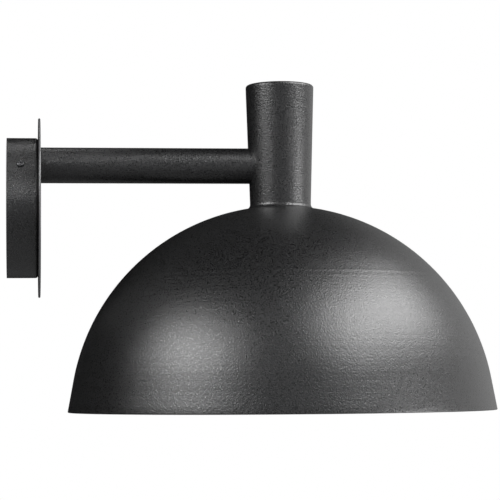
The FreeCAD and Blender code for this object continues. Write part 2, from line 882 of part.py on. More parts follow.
def contact_spring():
    """A helix of quarter-turn biarcs between the plunger's flange and the guide's top."""
    bottom = guide_bottom + plunger_flange_thickness + spring_wire / 2 + spring_gap
    top = guide_top - guide_wall - spring_wire / 2 - spring_gap
    radius = guide_diameter / 2 - guide_wall - spring_wire / 2 - spring_gap
    climb = (top - bottom) / spring_turns

    def on_helix(turns):
        a = 2 * math.pi * turns
        return V(arm_reach + radius * math.cos(a), radius * math.sin(a), bottom + climb * turns)

    def heading(turns):
        a = 2 * math.pi * turns
        return unit(V(-radius * math.sin(a), radius * math.cos(a), climb / (2 * math.pi)))

    edges = []
    for quarter in range(round(spring_turns * 4)):
        first, last = quarter / 4, (quarter + 1) / 4
        edges += biarc(on_helix(first), heading(first), on_helix(last), heading(last))
    print(f"contact_spring: gap between turns {climb - spring_wire:.2f}")
    section = Part.Wire([Part.makeCircle(spring_wire / 2, on_helix(0), heading(0))])
    return Part.Wire(edges).makePipeShell([section], True, False)


def terminal_body(side):
    low = V(terminal_offset - terminal_length / 2, -terminal_width / 2, terminal_bottom)
    high = V(terminal_offset + terminal_length / 2, terminal_width / 2,
             terminal_bottom + terminal_height)
    xs = sorted((side * low.x, side * high.x))
    body = block(V(arm_reach + xs[0], low.y, low.z), V(arm_reach + xs[1], high.y, high.z))
    middle = side * terminal_offset
    hole = rod(terminal_hole, side_of_axis(middle, terminal_bottom - 1),
               side_of_axis(middle, terminal_bottom + terminal_height + 1))
    tap = rod(m3_diameter, side_of_axis(middle, terminal_screw_height),
              side_of_axis(side * holder_diameter / 2, terminal_screw_height))
    return body, [hole, tap]


def live_terminal():
    """Terminal with a strap that lies on top of the contact guide."""
    body, cuts = terminal_body(1)
    inner = arm_reach + terminal_offset - terminal_length / 2
    strap = block(V(arm_reach - link_past_axis, -link_width / 2, guide_top),
                  V(inner + 1, link_width / 2, guide_top + link_thickness))
    riser = block(V(inner, -link_width / 2, terminal_bottom),
                  V(inner + link_thickness, link_width / 2, guide_top + link_thickness))
    return body.fuse([strap, riser]).cut(cuts).removeSplitter()


def neutral_terminal():
    """Terminal with a post that reaches the shell's flange through the floor."""
    body, cuts = terminal_body(-1)
    post = rod(post_diameter, side_of_axis(-post_offset, holder_floor_height),
               side_of_axis(-post_offset, terminal_bottom + terminal_height / 2))
    return body.fuse(post).cut(cuts).removeSplitter()


def terminal_screws():
    seat = terminal_offset + terminal_length / 2
    length = seat - terminal_offset - wire_diameter / 2
    cheese = screw(m3_diameter, terminal_screw_head_diameter, terminal_screw_head_height, length,
                   slot_recess(terminal_screw_head_diameter, 0.7))
    return Part.makeCompound([aimed(cheese, side_of_axis(side * seat, terminal_screw_height),
                                    V(-side, 0, 0)) for side in (-1, 1)])


# ---- Bulb ----

def cap_foot():
    return bulb_tip_height - cap_to_tip


def cap_head():
    return bulb_tip_height - tip_height - insulator_height


def bulb_tip():
    disc_radius = tip_diameter / 2
    base = bulb_tip_height - tip_height
    outline = Outline(0, base)
    outline.line(disc_radius, base)
    outline.line(disc_radius, base + tip_height * 0.4)
    outline.line(disc_radius * 0.6, bulb_tip_height)
    outline.line(0, bulb_tip_height)
    return on_neck_axis(outline.turned())


def bulb_insulator():
    """Dark glass between the tip and the threaded cap."""
    base = bulb_tip_height - tip_height
    inside_cap = cap_diameter / 2 - cap_wall
    outline = Outline(0, cap_head() - cap_wall * 4)
    outline.line(inside_cap, cap_head() - cap_wall * 4)
    outline.line(inside_cap, cap_head())
    outline.line(tip_diameter / 2 + 2.2, base)
    outline.line(0, base)
    return on_neck_axis(outline.turned())


def bulb_cap():
    return pipe(cap_diameter, cap_diameter - 2 * cap_wall, side_of_axis(0, cap_foot()),
                side_of_axis(0, cap_head()))


def globe_centre():
    return bulb_tip_height - bulb_length + bulb_diameter / 2


def globe_edge():
    """Radius and height where the globe meets the bulb's body."""
    a = math.radians(globe_half_angle)
    radius = bulb_diameter / 2
    return radius * math.cos(a), globe_centre() + radius * math.sin(a)


def bulb_body():
    """Moulded body: a plug in the cap, then a cone out to the globe."""
    neck_inside = cap_diameter / 2 - cap_wall
    edge_radius, edge_height = globe_edge()
    recess = edge_radius - globe_wall
    outline = Outline(0, cap_foot() + body_tuck)
    outline.line(neck_inside, cap_foot() + body_tuck)
    outline.line(neck_inside, cap_foot())
    outline.line(body_neck_diameter / 2, cap_foot())
    outline.line(body_neck_diameter / 2, cap_foot() - 2)
    outline.line(edge_radius, edge_height)
    outline.line(recess, edge_height)
    outline.line(recess, edge_height + globe_tuck)
    outline.line(0, edge_height + globe_tuck)
    return on_neck_axis(outline.turned())


def bulb_globe():
    a = math.radians(globe_half_angle)
    outer = bulb_diameter / 2
    inner = outer - globe_wall
    centre = (0.0, globe_centre())
    edge_radius, edge_height = globe_edge()
    inner_edge = math.asin((edge_height - globe_centre()) / inner)
    outline = Outline(edge_radius, edge_height)
    outline.arc(centre, outer, a, -math.pi / 2)
    outline.line(0, globe_centre() - inner)
    outline.arc(centre, inner, -math.pi / 2, inner_edge)
    return on_neck_axis(outline.turned())


def led_board():
    edge_radius, edge_height = globe_edge()
    top = edge_height + globe_tuck
    return rod(2 * (edge_radius - globe_wall) - 2, side_of_axis(0, top - board_thickness),
               side_of_axis(0, top))


# ---- Wires ----

def rounded_route(points):
    """Straight runs joined by tangent arcs, and the arcs' radii."""
    edges = []
    radii = []
    here = points[0]
    for before, corner, after in zip(points, points[1:], points[2:]):
        back = before.sub(corner)
        ahead = after.sub(corner)
        cut = 0.45 * min(back.Length, ahead.Length)
        back.normalize()
        ahead.normalize()
        half_turn = (math.pi - back.getAngle(ahead)) / 2
        radius = cut / math.tan(half_turn)
        radii.append(radius)
        middle_way = back.add(ahead)
        middle_way.normalize()
        inset = radius / math.cos(half_turn) - radius
        start = corner.add(back * cut)
        end = corner.add(ahead * cut)
        edges.append(Part.makeLine(here, start))
        edges.append(Part.Arc(start, corner.add(middle_way * inset), end).toShape())
        here = end
    edges.append(Part.makeLine(here, points[-1]))
    return edges, radii


def wire(name, points):
    """An insulated wire along its route. Its smallest radius is printed."""
    edges, radii = rounded_route(points)
    path = Part.Wire(edges)
    section = Part.Wire([Part.makeCircle(wire_diameter / 2, points[0], points[1].sub(points[0]))])
    solid = path.makePipeShell([section], True, False)
    expected = math.pi * (wire_diameter / 2) ** 2 * path.Length
    print(f"{name}: length {path.Length:.1f}, radii {[round(r, 1) for r in radii]}, "
          f"volume ratio {solid.Volume / expected:.4f}")
    return solid


def from_arm(distance, across, rise):
    """A wire point about the arm's axis: distance from the disc's front, across, above the axis."""
    return V(disc_front + distance, across, arm_rise + rise)


def from_neck(along, across, rise):
    """A wire point about where the arm's axis meets the neck's axis."""
    return V(arm_reach + along, across, arm_rise + rise)


def wire_end_in_terminal():
    return terminal_bottom + terminal_height * 0.3


def live_wire():
    pole = pole_places()[0]
    down = terminal_offset
    end = wire_end_in_terminal() - arm_rise
    return wire("live_wire", [
        V(pole_axis(), pole, wire_end_short), V(pole_axis(), pole, 13.0),
        from_arm(-14.3, -8.5, -5.5), from_arm(-7.0, -2.0, 0.9),
        from_arm(9.5, -1.3, 0.6), from_arm(38.0, -3.4, -1.2),
        from_arm(78.0, -4.6, 1.6), from_arm(112.0, -3.8, 2.2),
        from_neck(-36.0, -5.0, 5.2), from_neck(-17.0, -4.6, 6.6), from_neck(4.0, -2.6, 12.6),
        from_neck(down, 0, 3.5), from_neck(down, 0, end)])


def neutral_wire():
    pole = pole_places()[-1]
    down = -terminal_offset
    end = wire_end_in_terminal() - arm_rise
    return wire("neutral_wire", [
        V(pole_axis(), pole, wire_end_short), V(pole_axis(), pole, 12.0),
        from_arm(-14.0, 8.8, -6.0), from_arm(-7.2, 1.9, 0.7),
        from_arm(9.0, 1.3, 0.8), from_arm(40.0, 3.8, 0.4),
        from_arm(76.0, 2.6, 3.4), from_arm(108.0, 4.2, 5.2),
        from_neck(-38.0, 3.6, 7.6), from_neck(-19.6, 3.4, 8.0),
        from_neck(down, 0, 1.0), from_neck(down, 0, end)])


def earth_wire():
    receptacle_top = (bar_height + bar_thickness + blade_height + receptacle_wall
                      + receptacle_barrel_length)
    plug_in = blade_middle(receptacle_top - receptacle_barrel_length)
    return wire("earth_wire", [
        V(pole_axis(), 0, wire_end_short), V(pole_axis(), 0, 14.0),
        from_arm(-14.0, 0.4, -6.5), from_arm(-7.0, 0, -1.6),
        from_arm(9.8, 0, -1.4), from_arm(36.0, 0.4, -4.6),
        from_arm(74.0, -0.8, -2.6), from_arm(110.0, 0.6, -0.6),
        from_neck(-36.0, -0.8, 4.0), from_neck(-18.0, -0.4, 8.0),
        from_neck(-1.8, 3.4, 10.8), V(plug_in.x, plug_in.y, arm_rise + 3.4), plug_in])


def plate_earth_wire():
    """A loop that hangs under the block and comes up into the lug's barrel."""
    barrel_axis = plate_thickness + lug_barrel_diameter / 2
    barrel_top = -earth_screw_drop - lug_barrel_drop
    leave = -pole_length / 2 - plate_wire_straight
    foot = barrel_top - lug_barrel_length - plate_wire_drop
    across = earth_screw_across
    return wire("plate_earth_wire", [
        V(pole_axis(), 0, -wire_end_short), V(pole_axis(), 0, leave),
        V(pole_axis() - wire_diameter / 4, across * 0.12, (leave + 2 * foot) / 3),
        V((pole_axis() + barrel_axis) / 2, across * 0.52, foot - wire_end_short),
        V(barrel_axis, across, foot), V(barrel_axis, across, barrel_top - 1)])


# ---- All sub-parts ----

nodes = {
    "mounting_plate": mounting_plate(),
    "wall_cup": wall_cup(),
    "cup_side_screws": cup_side_screws(),
    "front_disc": front_disc(),
    "arm_screws": arm_screws(),
    "arm_screw_washers": arm_screw_washers(),
    "wall_end_plug": wall_end_plug(),
    "wire_bush": wire_bush(),
    "terminal_block": terminal_block(),
    "block_clamps": block_clamps(),
    "block_clamp_screws": block_clamp_screws(),
    "block_screws": block_screws(),
    "earth_lug": earth_lug(),
    "earth_washer": earth_washer(),
    "earth_screw": earth_screw(),
    "arm_tube": arm_tube(),
    "neck": neck(),
    "cross_bar": cross_bar(),
    "earth_receptacle": earth_receptacle(),
    "dome_shade": dome_shade(),
    "shade_ring": shade_ring(),
    "holder_body": holder_body(),
    "screw_shell": screw_shell(),
    "holder_screws": holder_screws(),
    "contact_guide": contact_guide(),
    "contact_plunger": contact_plunger(),
    "contact_spring": contact_spring(),
    "live_terminal": live_terminal(),
    "neutral_terminal": neutral_terminal(),
    "terminal_screws": terminal_screws(),
    "bulb_tip": bulb_tip(),
    "bulb_insulator": bulb_insulator(),
    "bulb_cap": bulb_cap(),
    "bulb_body": bulb_body(),
    "led_board": led_board(),
    "bulb_globe": bulb_globe(),
    "live_wire": live_wire(),
    "neutral_wire": neutral_wire(),
    "earth_wire": earth_wire(),
    "plate_earth_wire": plate_earth_wire(),
}

os.makedirs("parts", exist_ok=True)
for name, shape in nodes.items():
    shape.exportStep(f"parts/{name}.step")
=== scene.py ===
import math

import bmesh
import bpy
from mathutils import Euler, Matrix, Vector


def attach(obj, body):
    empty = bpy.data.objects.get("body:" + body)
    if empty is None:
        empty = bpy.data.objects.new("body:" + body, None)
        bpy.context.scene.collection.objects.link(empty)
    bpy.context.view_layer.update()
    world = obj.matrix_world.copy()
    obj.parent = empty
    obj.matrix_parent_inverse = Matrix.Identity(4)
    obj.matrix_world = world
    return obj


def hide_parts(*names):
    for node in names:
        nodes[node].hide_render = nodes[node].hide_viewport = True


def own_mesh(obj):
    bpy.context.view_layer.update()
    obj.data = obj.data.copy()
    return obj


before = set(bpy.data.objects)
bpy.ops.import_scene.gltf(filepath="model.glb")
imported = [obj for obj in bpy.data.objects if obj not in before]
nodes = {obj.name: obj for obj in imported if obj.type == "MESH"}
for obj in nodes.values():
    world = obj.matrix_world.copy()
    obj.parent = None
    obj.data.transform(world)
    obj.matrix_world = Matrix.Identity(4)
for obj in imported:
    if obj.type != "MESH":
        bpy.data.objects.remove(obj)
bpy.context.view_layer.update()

# ---- Camera ----
# The lamp is seen almost along the wall, from a little above the shade's rim,
# with a long lens some 1.4 m away.
camera_place = Vector((0.01255, -1.40567, -0.12014))
camera_turn, camera_rise, camera_roll = 0.11162, 0.06414, -0.00783

forward = Vector((math.sin(camera_turn) * math.cos(camera_rise),
                  math.cos(camera_turn) * math.cos(camera_rise),
                  math.sin(camera_rise)))
level = Vector((math.cos(camera_turn), -math.sin(camera_turn), 0.0))
above = level.cross(forward)
right = level * math.cos(camera_roll) + above * math.sin(camera_roll)
top = above * math.cos(camera_roll) - level * math.sin(camera_roll)

lens = bpy.data.cameras.new("photo_camera")
lens.sensor_width = 36.0
lens.lens = 144.90
lens.clip_start = 0.05
camera = bpy.data.objects.new("photo_camera", lens)
camera.matrix_world = Matrix((
    (right.x, top.x, -forward.x, camera_place.x),
    (right.y, top.y, -forward.y, camera_place.y),
    (right.z, top.z, -forward.z, camera_place.z),
    (0.0, 0.0, 0.0, 1.0),
))
bpy.context.scene.collection.objects.link(camera)
bpy.context.scene.camera = camera
bpy.context.scene.view_settings.view_transform = "Standard"


# ---- Studio ----
# A pale floor well below the lamp in a pale room, three softboxes, and three small spots on the
# wall end. The camera and clear pieces see a white room and a nearly white floor. Gloss sees a
# dim room, a dark floor and a white wall behind the lamp's right side, so the coat stays black.
def new_finish(name, colour, metallic=0.0, roughness=0.5):
    """A material with one shader, ready for its pattern."""
    material = bpy.data.materials.new(name)
    material.use_nodes = True
    tree = material.node_tree
    tree.nodes.clear()
    shader = tree.nodes.new("ShaderNodeBsdfPrincipled")
    shader.inputs["Base Color"].default_value = (*colour, 1.0)
    shader.inputs["Metallic"].default_value = metallic
    shader.inputs["Roughness"].default_value = roughness
    result = tree.nodes.new("ShaderNodeOutputMaterial")
    tree.links.new(shader.outputs[0], result.inputs["Surface"])
    return material, tree, shader


def add(tree, kind, settings=None, **inputs):
    """Adds a node, with its settings and the inputs that are named."""
    node = tree.nodes.new(kind)
    for key, value in (settings or {}).items():
        setattr(node, key, value)
    for key, value in inputs.items():
        socket = node.inputs[key.replace("_", " ")]
        if isinstance(value, bpy.types.NodeSocket):
            tree.links.new(value, socket)
        else:
            socket.default_value = value
    return node


def calculated(tree, kind, first, second=None):
    """The result of one step of arithmetic on numbers or on other nodes' results."""
    step = add(tree, "ShaderNodeMath", {"operation": kind})
    for socket, value in zip(step.inputs, (first, second)):
        if isinstance(value, bpy.types.NodeSocket):
            tree.links.new(value, socket)
        elif value is not None:
            socket.default_value = value
    return step.outputs[0]


def shown(piece):
    """Puts an object in the scene."""
    bpy.context.scene.collection.objects.link(piece)
    return piece


def pale_room():
    world = bpy.data.worlds.new("pale_room")
    bpy.context.scene.world = world
    world.use_nodes = True
    air = world.node_tree
    air.nodes.clear()
    heading = add(air, "ShaderNodeTexCoord").outputs["Generated"]

    def facing(direction, start, end, least, most):
        """A value that grows as a ray heads more nearly in a direction."""
        nearness = add(air, "ShaderNodeVectorMath", {"operation": "DOT_PRODUCT"})
        air.links.new(heading, nearness.inputs[0])
        nearness.inputs[1].default_value = direction
        return add(air, "ShaderNodeMapRange", Value=nearness.outputs["Value"], From_Min=start,
                   From_Max=end, To_Min=least, To_Max=most).outputs["Result"]

    ray = add(air, "ShaderNodeLightPath").outputs
    dim = facing((0.35, -0.93, -0.10), start=-0.1, end=0.8, least=0.01, most=0.20)
    fill = calculated(air, "MULTIPLY", ray["Is Diffuse Ray"], 0.35)
    room = add(air, "ShaderNodeBackground", Color=(0.96, 0.97, 1.0, 1.0),
               Strength=calculated(air, "ADD", dim, fill))
    white = add(air, "ShaderNodeBackground", Color=(1.0, 1.0, 1.0, 1.0), Strength=1.0)
    wall_behind = facing((0.80, 0.59, 0.10), start=0.70, end=1.0, least=0.0, most=0.7)
    clear = calculated(air, "MULTIPLY", wall_behind, ray["Is Glossy Ray"])
    for kind in ("Is Transmission Ray", "Is Camera Ray"):
        clear = calculated(air, "MAXIMUM", clear, ray[kind])
    seen = add(air, "ShaderNodeMixShader", Fac=clear)
    air.links.new(room.outputs[0], seen.inputs[1])
    air.links.new(white.outputs[0], seen.inputs[2])
    result = air.nodes.new("ShaderNodeOutputWorld")
    air.links.new(seen.outputs[0], result.inputs["Surface"])


def pale_floor():
    material, tree, shader = new_finish("pale_floor", (0.20, 0.20, 0.20), 0.0, 0.9)
    ray = add(tree, "ShaderNodeLightPath").outputs
    glow = 0.0
    for kind, strength in (("Is Camera Ray", 0.93), ("Is Transmission Ray", 0.93),
                           ("Is Glossy Ray", 0.04), ("Is Diffuse Ray", 0.55)):
        glow = calculated(tree, "ADD", calculated(tree, "MULTIPLY", ray[kind], strength), glow)
    tree.links.new(glow, shader.inputs["Emission Strength"])
    shader.inputs["Emission Color"].default_value = (1.0, 1.0, 1.0, 1.0)
    count, radius, middle, height = 96, 6.0, 0.2, -2.4
    ring = [(middle + radius * math.cos(2 * math.pi * n / count),
             radius * math.sin(2 * math.pi * n / count), height) for n in range(count)]
    mesh = bpy.data.meshes.new("pale_floor")
    mesh.from_pydata(ring, [], [tuple(range(count))])
    mesh.materials.append(material)
    floor = shown(bpy.data.objects.new("pale_floor", mesh))


def softbox(name, azimuth, elevation, width, height, power, aim=(0.17, 0.0, -0.03),
            distance=2.0, spread=180.0):
    """An area light aimed at a point of the lamp. Azimuth 0 is in front of it, 90 its right."""
    light = bpy.data.lights.new(name, "AREA")
    light.shape = "RECTANGLE"
    light.size, light.size_y = width, height
    light.energy = power
    light.spread = math.radians(spread)
    piece = bpy.data.objects.new(name, light)
    turn, lift = math.radians(azimuth), math.radians(elevation)
    direction = Vector((math.sin(turn) * math.cos(lift), -math.cos(turn) * math.cos(lift),
                        math.sin(lift)))
    piece.location = Vector(aim) + direction * distance
    piece.rotation_euler = direction.to_track_quat("Z", "Y").to_euler()
    shown(piece)


pale_room()
pale_floor()
softbox("right_softbox", azimuth=66.0, elevation=43.0, width=2.4, height=1.1, power=40.0)
softbox("low_right_softbox", azimuth=66.0, elevation=-11.0, width=1.0, height=0.5, power=17.0)
softbox("left_softbox", azimuth=-61.0, elevation=28.0, width=1.4, height=0.8, power=19.5)
for side, lift, power in ((-8.0, 26.0, 0.0026), (-8.0, 75.0, 0.0013), (175.0, 66.0, 0.0014)):
    softbox(f"wall_end_spot_{side:.0f}_{lift:.0f}", azimuth=side, elevation=lift, width=0.1,
            height=0.1, power=power, aim=(0.010, -0.04, 0.0), distance=0.6, spread=16.0)


# ---- Mounting plate, and the other galvanised parts ----
# A round plate cut from galvanised sheet, with two tabs bent forward that take the cup's side
# screws. The cross bar and the arm's plug have its finish: zinc with a frosty spangle.
def object_place(tree):
    """The point on the piece, in metres."""
    return add(tree, "ShaderNodeTexCoord").outputs["Object"]


def noise(tree, scale, detail):
    """Soft noise that stays on the piece, from 0 to 1."""
    return add(tree, "ShaderNodeTexNoise", Vector=object_place(tree), Scale=scale,
               Detail=detail).outputs["Fac"]


def shades(tree, factor, *stops):
    """Colours along a factor from 0 to 1."""
    ramp = tree.nodes.new("ShaderNodeValToRGB")
    tree.links.new(factor, ramp.inputs["Fac"])
    for n, (position, colour) in enumerate(stops):
        stop = ramp.color_ramp.elements[n] if n < 2 else ramp.color_ramp.elements.new(position)
        stop.position = position
        stop.color = (*colour, 1.0)
    return ramp.outputs["Color"]


def spread(tree, value, low, high):
    """A value from 0 to 1 spread over a range."""
    return add(tree, "ShaderNodeMapRange", Value=value, To_Min=low, To_Max=high).outputs["Result"]


def raised(tree, height, strength, distance, **under):
    """The normal of a skin that rises with a value."""
    return add(tree, "ShaderNodeBump", Height=height, Strength=strength, Distance=distance,
               **under).outputs["Normal"]


def feed(tree, shader, **results):
    """Links results to a shader's inputs by name."""
    for key, result in results.items():
        tree.links.new(result, shader.inputs[key.replace("_", " ")])


def tinted(colour, factor):
    return tuple(min(1.0, c * factor) for c in colour)


def dress(material, *names):
    """Gives a material to pieces of the solid model."""
    for name in names:
        nodes[name].material_slots[0].material = material


def galvanised_steel():
    material, tree, shader = new_finish("galvanised_steel", (0.5, 0.52, 0.54), 1.0, 0.4)
    cells = add(tree, "ShaderNodeTexVoronoi", Vector=object_place(tree), Scale=380.0)
    crystal = add(tree, "ShaderNodeSeparateColor", Color=cells.outputs["Color"]).outputs["Red"]
    feed(tree, shader,
         Base_Color=shades(tree, crystal, (0.0, (0.42, 0.44, 0.46)), (0.6, (0.52, 0.54, 0.56)),
                           (1.0, (0.60, 0.62, 0.64))),
         Roughness=spread(tree, crystal, 0.32, 0.55),
         Normal=raised(tree, noise(tree, 900.0, 4.0), 0.15, 0.0002))
    return material


dress(galvanised_steel(), "mounting_plate", "wall_end_plug", "cross_bar")


# ---- Powder coat ----
# Cup, disc, arm, neck and shade are steel sprayed with a fine-textured matt black powder
# and baked, which leaves a sandy skin. The spun shade keeps faint rings and one mark from the
# lathe, and the disc's edge carries a painted highlight, its colour lightened to grey there.
neck_axis = 0.192


def near_rim(tree, radius):
    """From 0 on a disc about the X axis to 1 on its edge."""
    across = add(tree, "ShaderNodeVectorMath", {"operation": "MULTIPLY"})
    tree.links.new(object_place(tree), across.inputs[0])
    across.inputs[1].default_value = (0.0, 1.0, 1.0)
    reach = add(tree, "ShaderNodeVectorMath", {"operation": "LENGTH"})
    tree.links.new(across.outputs["Vector"], reach.inputs[0])
    return add(tree, "ShaderNodeMapRange", Value=reach.outputs["Value"],
               From_Min=radius - 0.0006, From_Max=radius - 0.0001).outputs["Result"]


def lathe_rings(tree):
    """The height of rings left by spinning, with a mark of two ridges below the crown."""
    level = add(tree, "ShaderNodeSeparateXYZ", Vector=object_place(tree)).outputs["Z"]
    height = add(tree, "ShaderNodeTexNoise", {"noise_dimensions": "1D"}, W=level, Scale=150.0,
                 Detail=4.0, Roughness=0.7).outputs["Fac"]
    ridge_width = 0.0014
    for ridge_level, rise in ((-0.0488, 0.6), (-0.0522, 0.3)):
        away = calculated(tree, "ABSOLUTE", calculated(tree, "SUBTRACT", level, ridge_level))
        ridge = add(tree, "ShaderNodeMapRange", Value=away, From_Min=0.0, From_Max=ridge_width,
                    To_Min=rise, To_Max=0.0)
        height = calculated(tree, "ADD", height, ridge.outputs["Result"])
    return height


def powder_coat(name, spun=False, disc_radius=None):
    material, tree, shader = new_finish(name, (0.0085, 0.0085, 0.009), 0.0, 0.36)
    shader.inputs["IOR"].default_value = 1.6
    shader.inputs["Specular IOR Level"].default_value = 1.0
    dust = noise(tree, 1400.0, 0.0)
    if disc_radius:
        # Painted highlight: the base colour goes from black to grey over the disc's outer edge.
        colour = shades(tree, near_rim(tree, disc_radius), (0.0, (0.009, 0.009, 0.009)),
                        (1.0, (0.10, 0.10, 0.102)))
    else:
        colour = shades(tree, dust, (0.40, (0.002, 0.002, 0.002)),
                        (0.62, (0.022, 0.022, 0.0225)))
    normal = raised(tree, noise(tree, 1000.0, 2.0), 0.62, 0.0004)
    if spun:
        normal = raised(tree, lathe_rings(tree), 0.20, 0.0006, Normal=normal)
    feed(tree, shader, Base_Color=colour, Roughness=spread(tree, dust, 0.18, 0.48),
         Normal=normal)
    return material


black_powder_coat = powder_coat("black_powder_coat")
dress(black_powder_coat, "wall_cup", "arm_tube", "neck")


# ---- Front disc ----
# A flat steel disc, laser-cut and powder coated, clamped between cup and arm. The coat
# rounds its edges.
def arc_points(centre, radius, first, last, count):
    """Points along an arc in the plane of radius and height. Angles in degrees."""
    points = []
    for n in range(count + 1):
        a = math.radians(first + (last - first) * n / count)
        points.append((centre[0] + radius * math.cos(a), centre[1] + radius * math.sin(a)))
    return points


def new_tree(name, result, **inputs):
    """A tree of geometry nodes with named inputs, and the outputs that bring them in."""
    tree = bpy.data.node_groups.new(name, "GeometryNodeTree")
    for label, kind in inputs.items():
        tree.interface.new_socket(label, in_out="INPUT", socket_type="NodeSocket" + kind)
    tree.interface.new_socket(result, in_out="OUTPUT", socket_type="NodeSocketGeometry")
    return tree, add(tree, "NodeGroupInput").outputs


def end_tree(tree, geometry, finish, smooth=True):
    """Ends a tree with a real mesh of one material."""
    geometry = add(tree, "GeometryNodeRealizeInstances", Geometry=geometry).outputs[0]
    if smooth:
        geometry = add(tree, "GeometryNodeSetShadeSmooth", Geometry=geometry).outputs[0]
    finished = add(tree, "GeometryNodeSetMaterial", Geometry=geometry, Material=finish)
    end = add(tree, "NodeGroupOutput")
    tree.links.new(finished.outputs[0], end.inputs[0])


hub_radius = 0.001


def lathe_tree():
    """Turns an outline, drawn as a line mesh of radius and height, about an axis."""
    tree, given = new_tree("lathe", "Turned", Outline="Geometry", Steps="Int", Foot="Vector",
                           Facing="Rotation", Finish="Material")
    outline = add(tree, "GeometryNodeMeshToCurve", Mesh=given["Outline"])
    hub = add(tree, "GeometryNodeCurvePrimitiveCircle", Resolution=given["Steps"],
              Radius=hub_radius)
    swept = add(tree, "GeometryNodeCurveToMesh", Curve=hub.outputs["Curve"],
                Profile_Curve=outline.outputs[0])
    closed = add(tree, "GeometryNodeMergeByDistance", Geometry=swept.outputs[0], Distance=1e-6)
    placed = add(tree, "GeometryNodeTransform", Geometry=closed.outputs[0],
                 Translation=given["Foot"], Rotation=given["Facing"])
    end_tree(tree, placed.outputs[0], given["Finish"])
    return tree


def set_inputs(modifier, values):
    """Sets a modifier's inputs by the names that its tree gives them."""
    for item in modifier.node_group.interface.items_tree:
        if item.item_type == "SOCKET" and item.in_out == "INPUT" and item.name in values:
            modifier[item.identifier] = values[item.name]


def made(name, source, tree, values, crease=35.0):
    """Runs a tree on a source object and keeps its result as a plain mesh."""
    modifier = source.modifiers.new("form", "NODES")
    modifier.node_group = tree
    set_inputs(modifier, values)
    bpy.context.view_layer.update()
    ready = source.evaluated_get(bpy.context.evaluated_depsgraph_get())
    mesh = bpy.data.meshes.new_from_object(ready)
    mesh.name = name
    bpy.data.objects.remove(source)
    mesh.set_sharp_from_angle(angle=math.radians(crease))
    return shown(bpy.data.objects.new(name, mesh))


def line_object(name, points, closed=False):
    """An object that holds a line through points."""
    count = len(points)
    edges = [(n, (n + 1) % count) for n in range(count if closed else count - 1)]
    mesh = bpy.data.meshes.new(name)
    mesh.from_pydata(points, edges, [])
    return shown(bpy.data.objects.new(name, mesh))


turning = lathe_tree()
along_arm = Euler((0.0, math.radians(90.0), 0.0))


def turned(name, outline, finish, steps, foot=(0.0, 0.0, 0.0), facing=(0.0, 0.0, 0.0),
           closed=True):
    """A piece turned from an outline in metres, walked with its outside on the left."""
    source = line_object(name, [(r - hub_radius, -h, 0.0) for r, h in outline], closed)
    return made(name, source, turning,
                {"Steps": steps, "Foot": foot, "Facing": tuple(facing), "Finish": finish})


def front_disc():
    radius, back, front, edge = 0.0625, 0.02175, 0.02325, 0.0007
    rim = arc_points((radius - edge, front - edge), edge, 90.0, 0.0, 6)
    rim += arc_points((radius - edge, back + edge), edge, 0.0, -90.0, 6)
    outline = [(0.0, front), (0.02, front), (0.045, front)] + rim
    outline += [(0.045, back), (0.02, back), (0.0, back)]
    # The disc's coat has a painted highlight along its edge.
    coat = powder_coat("black_powder_coat_painted_edge_highlight", disc_radius=radius)
    disc = turned("front_disc_coated", outline, coat, steps=192, facing=along_arm, closed=False)
    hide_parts("front_disc")
    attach(disc, "fixture")


front_disc()


# ---- Screws with hex and cross recesses ----
# Cold-headed steel screws with rolled threads. Black button heads with a hex socket hold the
# cup on the plate, and zinc-plated pan heads hold the arm, block, earth lug and holder.
cross_width = 0.8
# A head's outline from its flat top to its underside, as shares of its radius and height
head_profile = ((0.66, 1.0), (0.78, 0.93), (0.88, 0.80), (0.96, 0.58), (0.995, 0.36),
                (1.0, 0.22), (0.99, 0.06), (0.96, 0.0))


def recess_reach(is_hex, size, angle):
    """How far a recess reaches from its middle at an angle."""
    if is_hex:
        return size / 2 / math.cos(angle % math.radians(60.0) - math.radians(30.0))
    a = angle % math.radians(90.0)
    a = min(a, math.radians(90.0) - a)
    return min(cross_width / 2 / max(math.sin(a), 1e-6), size / 2 / math.cos(a))


def recess_angles(is_hex, size):
    """Angles that meet the recess's corners."""
    if is_hex:
        return [math.radians(7.5 * n) for n in range(48)]
    corner = math.degrees(math.atan2(cross_width, size))
    third = (45.0 - corner) / 3
    steps = (0.0, corner / 2, corner, corner + third, corner + 2 * third, 45.0,
             90.0 - corner - 2 * third, 90.0 - corner - third, 90.0 - corner, 90.0 - corner / 2)
    return [math.radians(90.0 * quarter + step) for quarter in range(4) for step in steps]


def closed_mesh(name, points, faces):
    """A smooth closed mesh, its faces turned outwards, on an object of its own."""
    mesh = bpy.data.meshes.new(name)
    mesh.from_pydata(points, [], faces)
    work = bmesh.new()
    work.from_mesh(mesh)
    bmesh.ops.recalc_face_normals(work, faces=work.faces)
    work.to_mesh(mesh)
    work.free()
    mesh.polygons.foreach_set("use_smooth", [True] * len(mesh.polygons))
    return bpy.data.objects.new(name, mesh)


